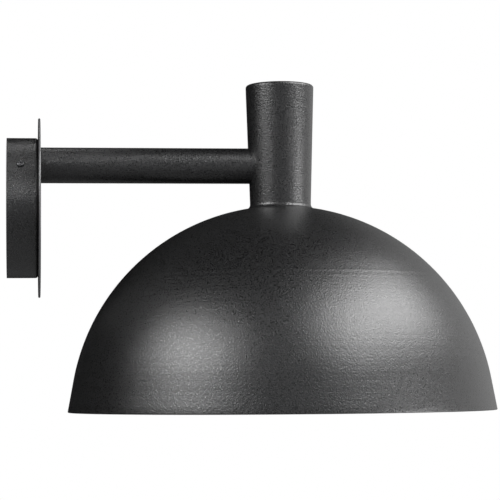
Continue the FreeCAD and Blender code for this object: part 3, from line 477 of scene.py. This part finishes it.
def fastener(name, shank, head, height, length, pitch, hex_size=None):
    """A screw along +Z with its head's underside at the origin and its head below. It has a
    cross recess, or a hex socket where its size is given. Millimetres."""
    size = hex_size or 0.6 * head
    angles = recess_angles(hex_size, size)
    floor = -height + 0.6 * height
    cone = size * (0.3 if hex_size else 0.05)
    thread_start, thread_depth, rows_per_turn = 0.3, 0.3 * pitch, 6
    rows = [("point", 0.0, floor + cone), ("recess", 0.5, floor + cone * 0.5),
            ("recess", 0.94, floor), ("recess", 0.98, floor - 0.15),
            ("recess", 1.0, -height + 0.08), ("recess", 1.06, -height)]
    rows += [("round", head / 2 * share, -height * drop) for share, drop in head_profile]
    rows += [("round", shank / 2 + 0.15, 0.0), ("round", shank / 2, 0.12)]
    turns = (length - 0.9) / pitch
    rows += [("thread", shank / 2, thread_start + n * pitch / rows_per_turn)
             for n in range(int(turns * rows_per_turn) + 1)]
    rows += [("round", shank / 2 - thread_depth, length - 0.35),
             ("round", shank / 2 - 0.75 * pitch, length), ("point", 0.0, length)]
    points, faces, loops = [], [], []
    for kind, reach, z in rows:
        if kind == "point":
            loops.append([len(points)])
            points.append((0.0, 0.0, z / 1000))
            continue
        loop = []
        for angle in angles:
            r = reach
            if kind == "recess":
                r = reach * recess_reach(hex_size, size, angle)
            if kind == "thread":
                wave = math.cos(2 * math.pi * z / pitch - angle)
                ease = min(1.0, (z - thread_start) / pitch)
                r = reach - thread_depth * ease * (1 - wave)
            loop.append(len(points))
            points.append((r * math.cos(angle) / 1000, r * math.sin(angle) / 1000, z / 1000))
        loops.append(loop)
    for low, high in zip(loops, loops[1:]):
        for n in range(len(angles)):
            m = (n + 1) % len(angles)
            if len(low) == 1:
                faces.append((low[0], high[m], high[n]))
            elif len(high) == 1:
                faces.append((low[n], low[m], high[0]))
            else:
                faces.append((low[n], low[m], high[m], high[n]))
    return closed_mesh(name, points, faces)


def fastener_tree():
    """Sets a screw on each point, aimed along the point's own direction, at a random turn."""
    tree, given = new_tree("set_of_screws", "Screws", Places="Geometry", Screw="Object",
                           Finish="Material", Seed="Int")
    shape = add(tree, "GeometryNodeObjectInfo", Object=given["Screw"])
    aim = add(tree, "GeometryNodeInputNamedAttribute", {"data_type": "FLOAT_VECTOR"}, Name="aim")
    turn = add(tree, "FunctionNodeRandomValue", {"data_type": "FLOAT"}, Seed=given["Seed"])
    turn.inputs[3].default_value = 6.283
    about = add(tree, "FunctionNodeAxisAngleToRotation", Axis=(0.0, 0.0, 1.0),
                Angle=turn.outputs[1])
    heading = add(tree, "FunctionNodeAlignRotationToVector", {"axis": "Z"},
                  Rotation=about.outputs[0], Vector=aim.outputs[0])
    points = add(tree, "GeometryNodeMeshToPoints", Mesh=given["Places"])
    copies = add(tree, "GeometryNodeInstanceOnPoints", Points=points.outputs[0],
                 Instance=shape.outputs["Geometry"], Rotation=heading.outputs[0])
    end_tree(tree, copies.outputs[0], given["Finish"], smooth=False)
    return tree


setting = fastener_tree()


def screws(name, shape, places, aims, finish, node, seed):
    """A set of like screws at their places, in place of the plain ones."""
    mesh = bpy.data.meshes.new(name)
    mesh.from_pydata(places, [], [])
    aim = mesh.attributes.new("aim", "FLOAT_VECTOR", "POINT")
    aim.data.foreach_set("vector", [value for direction in aims for value in direction])
    source = shown(bpy.data.objects.new(name, mesh))
    piece = made(name, source, setting, {"Screw": shape, "Finish": finish, "Seed": seed})
    bpy.data.objects.remove(shape)
    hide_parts(node)
    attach(piece, "fixture")


def screw_steel(name, colour, roughness):
    """Plated steel with a thin uneven film and fine marks from the die."""
    material, tree, shader = new_finish(name, colour, 1.0, roughness)
    film = noise(tree, 420.0, 3.0)
    feed(tree, shader,
         Base_Color=shades(tree, film, (0.3, tinted(colour, 0.78)), (0.7, tinted(colour, 1.18))),
         Roughness=spread(tree, film, roughness * 0.75, roughness * 1.3),
         Normal=raised(tree, noise(tree, 5200.0, 2.0), 0.12, 0.00005))
    return material


black_screw_steel = screw_steel("black_screw_steel", (0.15, 0.15, 0.155), 0.28)
zinc = screw_steel("zinc_plated_steel", (0.60, 0.62, 0.64), 0.26)
dress(zinc, "arm_screw_washers", "earth_washer", "block_clamp_screws", "terminal_screws")
m4_pan = {"shank": 4.0, "head": 7.6, "height": 2.6, "pitch": 0.7}
m3_head = {"shank": 3.0, "head": 5.7, "height": 1.7, "pitch": 0.5}
m25_pan = {"shank": 2.5, "head": 4.5, "height": 1.6, "pitch": 0.45}


def cup_side_screws():
    cup_radius, from_wall = 0.04875, 0.0095
    places, aims = [], []
    for degrees in (33.0, 147.0):
        a = math.radians(degrees)
        places.append((from_wall, cup_radius * math.cos(a), cup_radius * math.sin(a)))
        aims.append((0.0, -math.cos(a), -math.sin(a)))
    button = fastener("button_head", length=6.0, hex_size=2.0, **m3_head)
    screws("cup_side_screws_threaded", button, places, aims, black_screw_steel,
           "cup_side_screws", 3)


def arm_screws():
    washer_face, circle, arm_rise = 0.01955, 0.008, 0.03
    places = []
    for degrees in (90.0, 210.0, 330.0):
        a = math.radians(degrees)
        places.append((washer_face, circle * math.cos(a), arm_rise + circle * math.sin(a)))
    pan = fastener("arm_pan_head", length=10.0, **m4_pan)
    screws("arm_screws_threaded", pan, places, [(1.0, 0.0, 0.0)] * 3, zinc, "arm_screws",
           11)


def plate_screws():
    web_face, washer_face = 0.005, 0.0031
    pan = fastener("block_pan_head", length=4.7, **m25_pan)
    screws("block_screws_threaded", pan, [(web_face, -0.0065, 0.0), (web_face, 0.0065, 0.0)],
           [(-1.0, 0.0, 0.0)] * 2, zinc, "block_screws", 5)
    pan = fastener("earth_pan_head", length=2.8, **m4_pan)
    screws("earth_screw_threaded", pan, [(washer_face, 0.022, -0.012)], [(-1.0, 0.0, 0.0)], zinc,
           "earth_screw", 2)


cup_side_screws()
arm_screws()
plate_screws()


# ---- Terminal block and earth ----
# A three-pole block moulded in natural polyamide with brass clamps, and an earth lug of
# tinned brass, all on the plate behind the cup.
def metal(name, bright, dull, roughness, scale):
    """Bare or plated metal whose film and tarnish vary gently."""
    material, tree, shader = new_finish(name, bright, 1.0, roughness)
    tarnish = noise(tree, scale, 4.0)
    feed(tree, shader,
         Base_Color=shades(tree, tarnish, (0.35, dull), (0.62, bright)),
         Roughness=spread(tree, tarnish, roughness * 1.35, roughness * 0.75),
         Normal=raised(tree, noise(tree, scale * 12, 2.0), 0.1, 0.00008))
    return material


def moulded(name, colour, roughness, depth, grain=1400.0):
    """Moulded plastic with a fine mould texture and a slight flow in its colour."""
    material, tree, shader = new_finish(name, colour, 0.0, roughness)
    flow, texture = noise(tree, 70.0, 3.0), noise(tree, grain, 3.0)
    feed(tree, shader,
         Base_Color=shades(tree, flow, (0.3, tinted(colour, 0.86)), (0.7, tinted(colour, 1.06))),
         Roughness=spread(tree, texture, roughness * 0.85, roughness * 1.2),
         Normal=raised(tree, texture, 0.12, 0.0001))
    shader.inputs["Subsurface Weight"].default_value = depth
    shader.inputs["Subsurface Radius"].default_value = (0.002, 0.0018, 0.0014)
    return material


brass = metal("brass", (0.74, 0.53, 0.25), (0.56, 0.37, 0.16), 0.28, 160.0)
dress(brass, "block_clamps", "contact_guide", "contact_plunger", "live_terminal",
      "neutral_terminal")
dress(metal("tinned_brass", (0.70, 0.69, 0.66), (0.56, 0.54, 0.50), 0.34, 200.0),
      "earth_lug", "earth_receptacle")
dress(moulded("natural_polyamide", (0.76, 0.72, 0.61), 0.42, 0.35), "terminal_block")
dress(moulded("black_polyamide", (0.018, 0.018, 0.018), 0.4, 0.0), "wire_bush")


# ---- Joint of arm and neck ----
# The tube is let into the neck and brazed all round. The bead is dressed to a small smooth
# fillet and coated over.
def saddle_joint():
    tube, bead, arm_rise = 12.5, 0.2, 30.0
    neck_foot, neck_top, foot_rise, neck_span = 21.5, 24.1, 3.5, 84.0
    taper = (neck_top - neck_foot) / neck_span

    def neck_face(y, z):
        outside = neck_foot + (z - foot_rise) * taper
        return neck_axis * 1000 - math.sqrt(outside * outside - y * y)

    columns, rows, sunk = 96, 6, 0.04
    points, faces = [], []
    for column in range(columns):
        a = 2 * math.pi * column / columns
        out = Vector((0.0, math.cos(a), math.sin(a)))
        corner = out * tube + Vector((0.0, 0.0, arm_rise))
        corner.x = neck_face(corner.y, corner.z)
        low = corner + Vector((-bead, 0.0, 0.0)) - out * sunk
        high = out * (tube + bead) + Vector((0.0, 0.0, arm_rise))
        high.x = neck_face(high.y, high.z) + sunk
        ring = []
        for row in range(rows + 1):
            t = row / rows
            ring.append(low * (1 - t) ** 2 + corner * 2 * t * (1 - t) + high * t * t)
        ring.append(corner + Vector((0.5, 0.0, 0.0)) - out * 0.5)
        points += [tuple(point / 1000) for point in ring]
    size = rows + 2
    for column in range(columns):
        for row in range(size):
            one, two = column * size, (column + 1) % columns * size
            step = (row + 1) % size
            faces.append((one + row, one + step, two + step, two + row))
    piece = shown(closed_mesh("saddle_joint", points, faces))
    piece.data.materials.append(black_powder_coat)
    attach(piece, "fixture")


saddle_joint()


# ---- Dome shade ----
# Spun from steel sheet over a form: a straight skirt under a spherical crown, a short collar
# under the neck and a rolled rim. Black powder coat outside and white inside.
def white_coat():
    material, tree, shader = new_finish("white_reflector_coat", (0.84, 0.84, 0.82), 0.0, 0.38)
    tone = noise(tree, 22.0, 3.0)
    feed(tree, shader,
         Base_Color=shades(tree, tone, (0.3, (0.825, 0.825, 0.805)), (0.7, (0.85, 0.85, 0.83))),
         Roughness=spread(tree, tone, 0.34, 0.42),
         Normal=raised(tree, noise(tree, 420.0, 2.0), 0.16, 0.0004))
    return material


spun_coat = powder_coat("black_powder_coat_spun", spun=True)
reflector_coat = white_coat()
crown_radius, crown_centre = 0.148443, -0.146967
shade_wall = 0.0012


def dome_shade():
    collar, fillet, top = 0.0215, 0.0035, 0.0035
    fillet_centre = (collar + fillet, top - 0.0006)
    meet = math.degrees(math.atan2(fillet_centre[1] - crown_centre, fillet_centre[0]))
    slope = 10.5
    half = shade_wall / 2
    bead = (0.15 - half, -0.14242 + half)
    crown = (0.0, crown_centre)
    outside = [(collar, top)]
    outside += arc_points(fillet_centre, fillet, 180.0, 180.0 + meet, 12)
    outside += arc_points(crown, crown_radius, meet, slope, 110)[1:]
    foot = (bead[0] + half * math.cos(math.radians(slope)),
            bead[1] + half * math.sin(math.radians(slope)))
    knee = outside[-1]
    outside += [(knee[0] + (foot[0] - knee[0]) * t, knee[1] + (foot[1] - knee[1]) * t)
                for t in (0.25, 0.5, 0.75)]
    roll = arc_points(bead, half, slope, -180.0 + slope, 10)
    inner = arc_points(crown, crown_radius - shade_wall, slope, meet, 70)
    inner += arc_points(fillet_centre, fillet + shade_wall, 180.0 + meet, 180.0, 8)[1:]
    inner.append((collar - shade_wall, top))
    outline = outside + roll + inner
    shade = turned("dome_shade_spun", outline, spun_coat, steps=256, foot=(neck_axis, 0.0, 0.0))
    shade.data.materials.append(reflector_coat)
    middle = Vector((neck_axis, 0.0, crown_centre))
    for face in shade.data.polygons:
        if face.normal.dot(face.center - middle) < 0 and face.center.z > -0.1419:
            face.material_index = 1
    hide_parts("dome_shade")
    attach(shade, "fixture")


dome_shade()


# ---- Shade ring and the holder's thread ----
# A black phenolic ring with a notched flange screws up the lampholder's threaded barrel and
# clamps the shade against the neck.
def sleeve_tree():
    """A sleeve whose wall follows a rolled thread that fades at both ends. Metres."""
    tree, given = new_tree("threaded_sleeve", "Sleeve", Radius="Float", Depth="Float",
                           Pitch="Float", Bottom="Float", Top="Float", Fade="Float",
                           Axis="Float", Rows="Int", Steps="Int", Finish="Material")

    def result(kind, first, second=None):
        return calculated(tree, kind, first, second)

    grid = add(tree, "GeometryNodeMeshGrid", Size_X=1.0, Size_Y=1.0,
               Vertices_X=given["Steps"], Vertices_Y=given["Rows"])
    position = add(tree, "GeometryNodeInputPosition").outputs[0]
    here = add(tree, "ShaderNodeSeparateXYZ", Vector=position).outputs
    around = result("MULTIPLY", result("ADD", here["X"], 0.5), 2 * math.pi)
    climb = result("MULTIPLY", result("ADD", here["Y"], 0.5),
                   result("SUBTRACT", given["Top"], given["Bottom"]))
    height = result("ADD", climb, given["Bottom"])
    turns = result("MULTIPLY", result("DIVIDE", height, given["Pitch"]), 2 * math.pi)
    wave = result("COSINE", result("SUBTRACT", turns, around))
    to_end = result("MINIMUM", climb, result("SUBTRACT", given["Top"], height))
    fade = result("MINIMUM", result("DIVIDE", to_end, given["Fade"]), 1.0)
    bulge = result("MULTIPLY", result("MULTIPLY", wave, fade), given["Depth"])
    radius = result("ADD", given["Radius"], bulge)
    across = result("ADD", result("MULTIPLY", radius, result("COSINE", around)), given["Axis"])
    back = result("MULTIPLY", radius, result("SINE", around))
    point = add(tree, "ShaderNodeCombineXYZ", X=across, Y=back, Z=height)
    moved = add(tree, "GeometryNodeSetPosition", Geometry=grid.outputs["Mesh"],
                Position=point.outputs[0])
    closed = add(tree, "GeometryNodeMergeByDistance", Geometry=moved.outputs[0], Distance=1e-6)
    end_tree(tree, closed.outputs[0], given["Finish"])
    return tree


threading = sleeve_tree()


def threaded_sleeve(name, radius, depth, pitch, bottom, top, wall, finish, rows,
                    outwards=False):
    """A thin threaded sleeve on the neck's axis. Its wall goes inwards unless told otherwise."""
    source = line_object(name, [(0.0, 0.0, 0.0), (0.0, 0.0, 0.001)])
    sleeve = made(name, source, threading,
                  {"Radius": radius, "Depth": depth, "Pitch": pitch, "Bottom": bottom,
                   "Top": top, "Fade": pitch * 0.8, "Axis": neck_axis, "Rows": rows,
                   "Steps": 97, "Finish": finish}, crease=60.0)
    solid = sleeve.modifiers.new("wall", "SOLIDIFY")
    solid.thickness = wall
    solid.offset = 1.0 if outwards else -1.0
    ready = sleeve.evaluated_get(bpy.context.evaluated_depsgraph_get())
    mesh = bpy.data.meshes.new_from_object(ready)
    sleeve.modifiers.clear()
    sleeve.data = mesh
    return sleeve


def porcelain():
    material, tree, shader = new_finish("glazed_porcelain", (0.83, 0.82, 0.78), 0.0, 0.12)
    body, run = noise(tree, 45.0, 3.0), noise(tree, 130.0, 1.0)
    specks = add(tree, "ShaderNodeTexVoronoi", Vector=object_place(tree), Scale=330.0)
    clay = shades(tree, body, (0.3, (0.80, 0.785, 0.74)), (0.7, (0.86, 0.85, 0.81)))
    dots = shades(tree, specks.outputs["Distance"], (0.0, (0.55, 0.50, 0.42)),
                  (0.08, (1.0, 1.0, 1.0)))
    both = add(tree, "ShaderNodeMixRGB", {"blend_type": "MULTIPLY"}, Fac=0.6, Color1=clay,
               Color2=dots)
    feed(tree, shader, Base_Color=both.outputs[0], Roughness=spread(tree, run, 0.09, 0.18),
         Normal=raised(tree, run, 0.1, 0.0003))
    shader.inputs["Coat Weight"].default_value = 0.6
    shader.inputs["Coat Roughness"].default_value = 0.05
    return material


phenolic = moulded("black_phenolic", (0.020, 0.018, 0.016), 0.26, 0.0, 900.0)
glazed = porcelain()
dress(glazed, "holder_body")


def shade_ring():
    seat = crown_radius - shade_wall - 0.00005
    inner, hub, rim = 0.0206, 0.0229, 0.0290
    hub_angle = math.degrees(math.acos(hub / seat))
    rim_angle = math.degrees(math.acos(rim / seat))
    rim_top = crown_centre + seat * math.sin(math.radians(rim_angle))
    hub_top = crown_centre + seat * math.sin(math.radians(hub_angle))
    foot = hub_top - 0.010
    outline = [(inner, hub_top - 0.0002), (inner + 0.0004, hub_top)]
    outline += arc_points((0.0, crown_centre), seat, hub_angle, rim_angle, 8)
    outline += arc_points((rim - 0.0004, rim_top - 0.0016), 0.0004, 0.0, -90.0, 5)
    outline += arc_points((hub + 0.0012, rim_top - 0.0032), 0.0012, 90.0, 180.0, 6)
    outline += arc_points((hub - 0.0005, foot + 0.0005), 0.0005, 0.0, -90.0, 5)
    outline += [(inner + 0.0004, foot), (inner, foot + 0.0004)]
    ring = turned("shade_ring_notched", outline, phenolic, steps=240, foot=(neck_axis, 0.0, 0.0))
    notches, deepest = 24, 0.0009
    for point in ring.data.vertices:
        x, y = point.co.x - neck_axis, point.co.y
        reach = math.hypot(x, y)
        if reach > rim - 0.0015:
            dip = max(0.0, math.cos(notches * math.atan2(y, x))) ** 2 * deepest
            point.co.x = neck_axis + x * (reach - dip) / reach
            point.co.y = y * (reach - dip) / reach
    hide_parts("shade_ring")
    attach(ring, "fixture")
    thread = threaded_sleeve("shade_ring_thread", 0.02025, 0.00028, 0.0025, foot + 0.0003,
                             hub_top - 0.0003, 0.0005, phenolic, 60, outwards=True)
    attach(thread, "fixture")


def holder_thread():
    thread = threaded_sleeve("holder_thread", 0.01988, 0.00028, 0.0025, -0.0228, 0.0024, 0.0004,
                             glazed, 140)
    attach(thread, "fixture")


shade_ring()
holder_thread()


# ---- Screw shell and its screws ----
# A thin nickel-plated brass shell, rolled with the same thread as the bulb's cap and held
# under the holder's floor by two screws.
nickel_brass = metal("nickel_brass", (0.70, 0.67, 0.60), (0.55, 0.51, 0.43), 0.22, 190.0)
cap_pitch = 0.0036286


def screw_shell():
    shell = threaded_sleeve("screw_shell_rolled", 0.01282, 0.00038, cap_pitch, -0.0225, 0.0030,
                            0.0003, nickel_brass, 150, outwards=True)
    flange = turned("screw_shell_flange",
                    [(0.0065, 0.004), (0.0128, 0.004), (0.01315, 0.00385), (0.01315, 0.0028),
                     (0.01285, 0.0028), (0.0126, 0.00365), (0.0065, 0.00365)],
                    nickel_brass, steps=96, foot=(neck_axis, 0.0, 0.0))
    for piece in (shell, flange):
        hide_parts("screw_shell")
        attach(piece, "fixture")


screw_shell()
screws("holder_screws_threaded", fastener("holder_pan_head", length=14.0, **m3_head),
       [(neck_axis, -0.009, 0.00365), (neck_axis, 0.009, 0.00365)], [(0.0, 0.0, 1.0)] * 2, zinc,
       "holder_screws", 9)


# ---- Centre contact's spring ----
# Music wire wound with its end turns closed, which presses the brass plunger down on the
# bulb's tip and shortens as the plunger is pressed up.
def wire_tree():
    """A round wire along a line or curve, with how far along and how far round kept on it."""
    tree, given = new_tree("wire_along_a_line", "Wire", Line="Geometry", Radius="Float",
                           Sides="Int", Finish="Material")
    kept = {"data_type": "FLOAT", "domain": "POINT"}
    length = add(tree, "GeometryNodeSplineParameter").outputs["Length"]
    along = add(tree, "GeometryNodeStoreNamedAttribute", kept, Geometry=given["Line"],
                Name="along", Value=length)
    ring = add(tree, "GeometryNodeCurvePrimitiveCircle", Resolution=given["Sides"],
               Radius=given["Radius"])
    share = add(tree, "GeometryNodeSplineParameter").outputs["Factor"]
    around = add(tree, "GeometryNodeStoreNamedAttribute", kept, Geometry=ring.outputs["Curve"],
                 Name="around", Value=share)
    swept = add(tree, "GeometryNodeCurveToMesh", Curve=along.outputs[0], Fill_Caps=True,
                Profile_Curve=around.outputs[0])
    end_tree(tree, swept.outputs[0], given["Finish"])
    return tree


def line_to_curve_tree():
    """Makes a curve of a line of edges."""
    tree, given = new_tree("line_to_curve", "Curve", Line="Geometry")
    curve = add(tree, "GeometryNodeMeshToCurve", Mesh=given["Line"])
    add(tree, "NodeGroupOutput", Curve=curve.outputs[0])
    return tree


wiring = wire_tree()
spring_steel = metal("spring_steel", (0.50, 0.50, 0.51), (0.36, 0.35, 0.34), 0.24, 700.0)


def contact_spring():
    wire, radius, foot, head = 0.000225, 0.0026, 0.00705, 0.01195
    turns, closed_turns, steps = 5.0, 0.75, 40
    low, high, closed_pitch = foot + wire, head - wire, 2.05 * wire
    open_rise = high - low - 2 * closed_turns * closed_pitch
    points = []
    for n in range(int(turns * steps) + 1):
        turn = n / steps
        open_share = min(max((turn - closed_turns) / (turns - 2 * closed_turns), 0.0), 1.0)
        closed = min(turn, closed_turns) + max(turn - turns + closed_turns, 0.0)
        a = 2 * math.pi * turn
        points.append((neck_axis + radius * math.cos(a), radius * math.sin(a),
                       low + closed * closed_pitch + open_share * open_rise))
    source = line_object("contact_spring_wound", points)
    source.modifiers.new("line", "NODES").node_group = line_to_curve_tree()
    spring = made("contact_spring_wound", source, wiring,
                  {"Radius": wire, "Sides": 12, "Finish": spring_steel})
    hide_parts("contact_spring")
    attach(spring, "fixture")
    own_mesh(spring)


contact_spring()


# ---- Inner wires ----
# Stranded copper in PVC: brown live, blue neutral and green-and-yellow earth. They run from
# the block through the arm to the holder, and a short earth wire joins block and plate.
def insulation(name, colour, stripe=None):
    material, tree, shader = new_finish(name, colour, 0.0, 0.36)
    skin = noise(tree, 1300.0, 2.0)
    plain = shades(tree, noise(tree, 90.0, 2.0), (0.3, tinted(colour, 0.82)), (0.7, colour))
    if stripe:
        around = add(tree, "ShaderNodeAttribute", {"attribute_name": "around"}).outputs["Fac"]
        band = calculated(tree, "PINGPONG", around, 0.25)
        edge = add(tree, "ShaderNodeMapRange", Value=band, From_Min=0.10, From_Max=0.12)
        plain = add(tree, "ShaderNodeMixRGB", Fac=edge.outputs["Result"], Color1=plain,
                    Color2=(*stripe, 1.0)).outputs[0]
    feed(tree, shader, Base_Color=plain, Roughness=spread(tree, skin, 0.30, 0.42),
         Normal=raised(tree, skin, 0.08, 0.0001))
    return material


def insulated_wire(name, node, finish, points):
    """A smooth wire along its route's points, which are in millimetres."""
    curve = bpy.data.curves.new(name, "CURVE")
    curve.dimensions = "3D"
    curve.resolution_u = 10
    spline = curve.splines.new("NURBS")
    spline.points.add(len(points) - 1)
    for point, (x, y, z) in zip(spline.points, points):
        point.co = (x / 1000, y / 1000, z / 1000, 1.0)
    spline.order_u = 3
    spline.use_endpoint_u = True
    source = shown(bpy.data.objects.new(name, curve))
    wire = made(name, source, wiring, {"Radius": 0.0011, "Sides": 20, "Finish": finish})
    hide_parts(node)
    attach(wire, "fixture")


# The disc's front, the neck's axis and the arm's height, in millimetres like the routes
front, axis, rise = 23.25, 192.0, 30.0
insulated_wire("live_wire_insulated", "live_wire",
               insulation("brown_insulation", (0.15, 0.055, 0.022)),
               [(7.5, -13.0, 1.5), (7.5, -13.0, 13.0), (front - 14.3, -8.5, rise - 5.5),
                (front - 7.0, -2.0, rise + 0.9), (front + 9.5, -1.3, rise + 0.6),
                (front + 38.0, -3.4, rise - 1.2), (front + 78.0, -4.6, rise + 1.6),
                (front + 112.0, -3.8, rise + 2.2), (axis - 36.0, -5.0, rise + 5.2),
                (axis - 17.0, -4.6, rise + 6.6), (axis + 4.0, -2.6, rise + 12.6),
                (axis + 13.2, 0.0, rise + 3.5), (axis + 13.2, 0.0, 8.65)])
insulated_wire("neutral_wire_insulated", "neutral_wire",
               insulation("blue_insulation", (0.03, 0.13, 0.42)),
               [(7.5, 13.0, 1.5), (7.5, 13.0, 12.0), (front - 14.0, 8.8, rise - 6.0),
                (front - 7.2, 1.9, rise + 0.7), (front + 9.0, 1.3, rise + 0.8),
                (front + 40.0, 3.8, rise + 0.4), (front + 76.0, 2.6, rise + 3.4),
                (front + 108.0, 4.2, rise + 5.2), (axis - 38.0, 3.6, rise + 7.6),
                (axis - 19.6, 3.4, rise + 8.0), (axis - 13.2, 0.0, rise + 1.0),
                (axis - 13.2, 0.0, 8.65)])
earth_colours = insulation("green_yellow_insulation", (0.05, 0.30, 0.07), (0.80, 0.62, 0.04))
insulated_wire("earth_wire_insulated", "earth_wire", earth_colours,
               [(7.5, 0.0, 1.5), (7.5, 0.0, 14.0), (front - 14.0, 0.4, rise - 6.5),
                (front - 7.0, 0.0, rise - 1.6), (front + 9.8, 0.0, rise - 1.4),
                (front + 36.0, 0.4, rise - 4.6), (front + 74.0, -0.8, rise - 2.6),
                (front + 110.0, 0.6, rise - 0.6), (axis - 36.0, -0.8, rise + 4.0),
                (axis - 18.0, -0.4, rise + 8.0), (axis - 1.8, 3.4, rise + 10.8),
                (axis + 5.6, 4.0, rise + 3.4), (axis + 5.6, 4.0, 24.0)])
insulated_wire("plate_earth_wire_insulated", "plate_earth_wire",
               earth_colours,
               [(7.5, 0.0, -1.5), (7.5, 0.0, -14.5), (6.95, 2.64, -27.17), (5.45, 11.44, -35.0),
                (3.4, 22.0, -33.5), (3.4, 22.0, -18.0)])


# ---- Bulb ----
# A pear-shaped lamp with a rolled nickel cap, a dark glass insulator round its brass tip, a
# moulded white body with its light board, and an opal plastic globe.
def opal():
    material, tree, shader = new_finish("opal_globe", (0.90, 0.90, 0.885), 0.0, 0.34)
    haze, frost = noise(tree, 35.0, 2.0), noise(tree, 2600.0, 2.0)
    feed(tree, shader,
         Base_Color=shades(tree, haze, (0.3, (0.885, 0.885, 0.87)), (0.7, (0.915, 0.915, 0.905))),
         Roughness=spread(tree, frost, 0.30, 0.40),
         Normal=raised(tree, frost, 0.06, 0.0001))
    shader.inputs["Subsurface Weight"].default_value = 0.5
    shader.inputs["Subsurface Radius"].default_value = (0.006, 0.006, 0.0055)
    return material


dress(opal(), "bulb_globe")
dress(moulded("white_bulb_plastic", (0.84, 0.84, 0.825), 0.36, 0.2), "bulb_body")
dress(moulded("white_led_board", (0.82, 0.82, 0.80), 0.5, 0.0), "led_board")
dress(moulded("dark_glass", (0.012, 0.010, 0.014), 0.1, 0.0), "bulb_insulator")
dress(metal("bulb_contact_brass", (0.66, 0.65, 0.62), (0.58, 0.46, 0.24), 0.34, 500.0),
      "bulb_tip")
nickel_cap = metal("nickel_cap", (0.68, 0.66, 0.62), (0.56, 0.53, 0.48), 0.2, 210.0)


def bulb_cap():
    cap = threaded_sleeve("bulb_cap_rolled", 0.01242, 0.00036, cap_pitch, -0.02595, -0.0062,
                          0.0003, nickel_cap, 120)
    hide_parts("bulb_cap")
    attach(cap, "bulb")


bulb_cap()
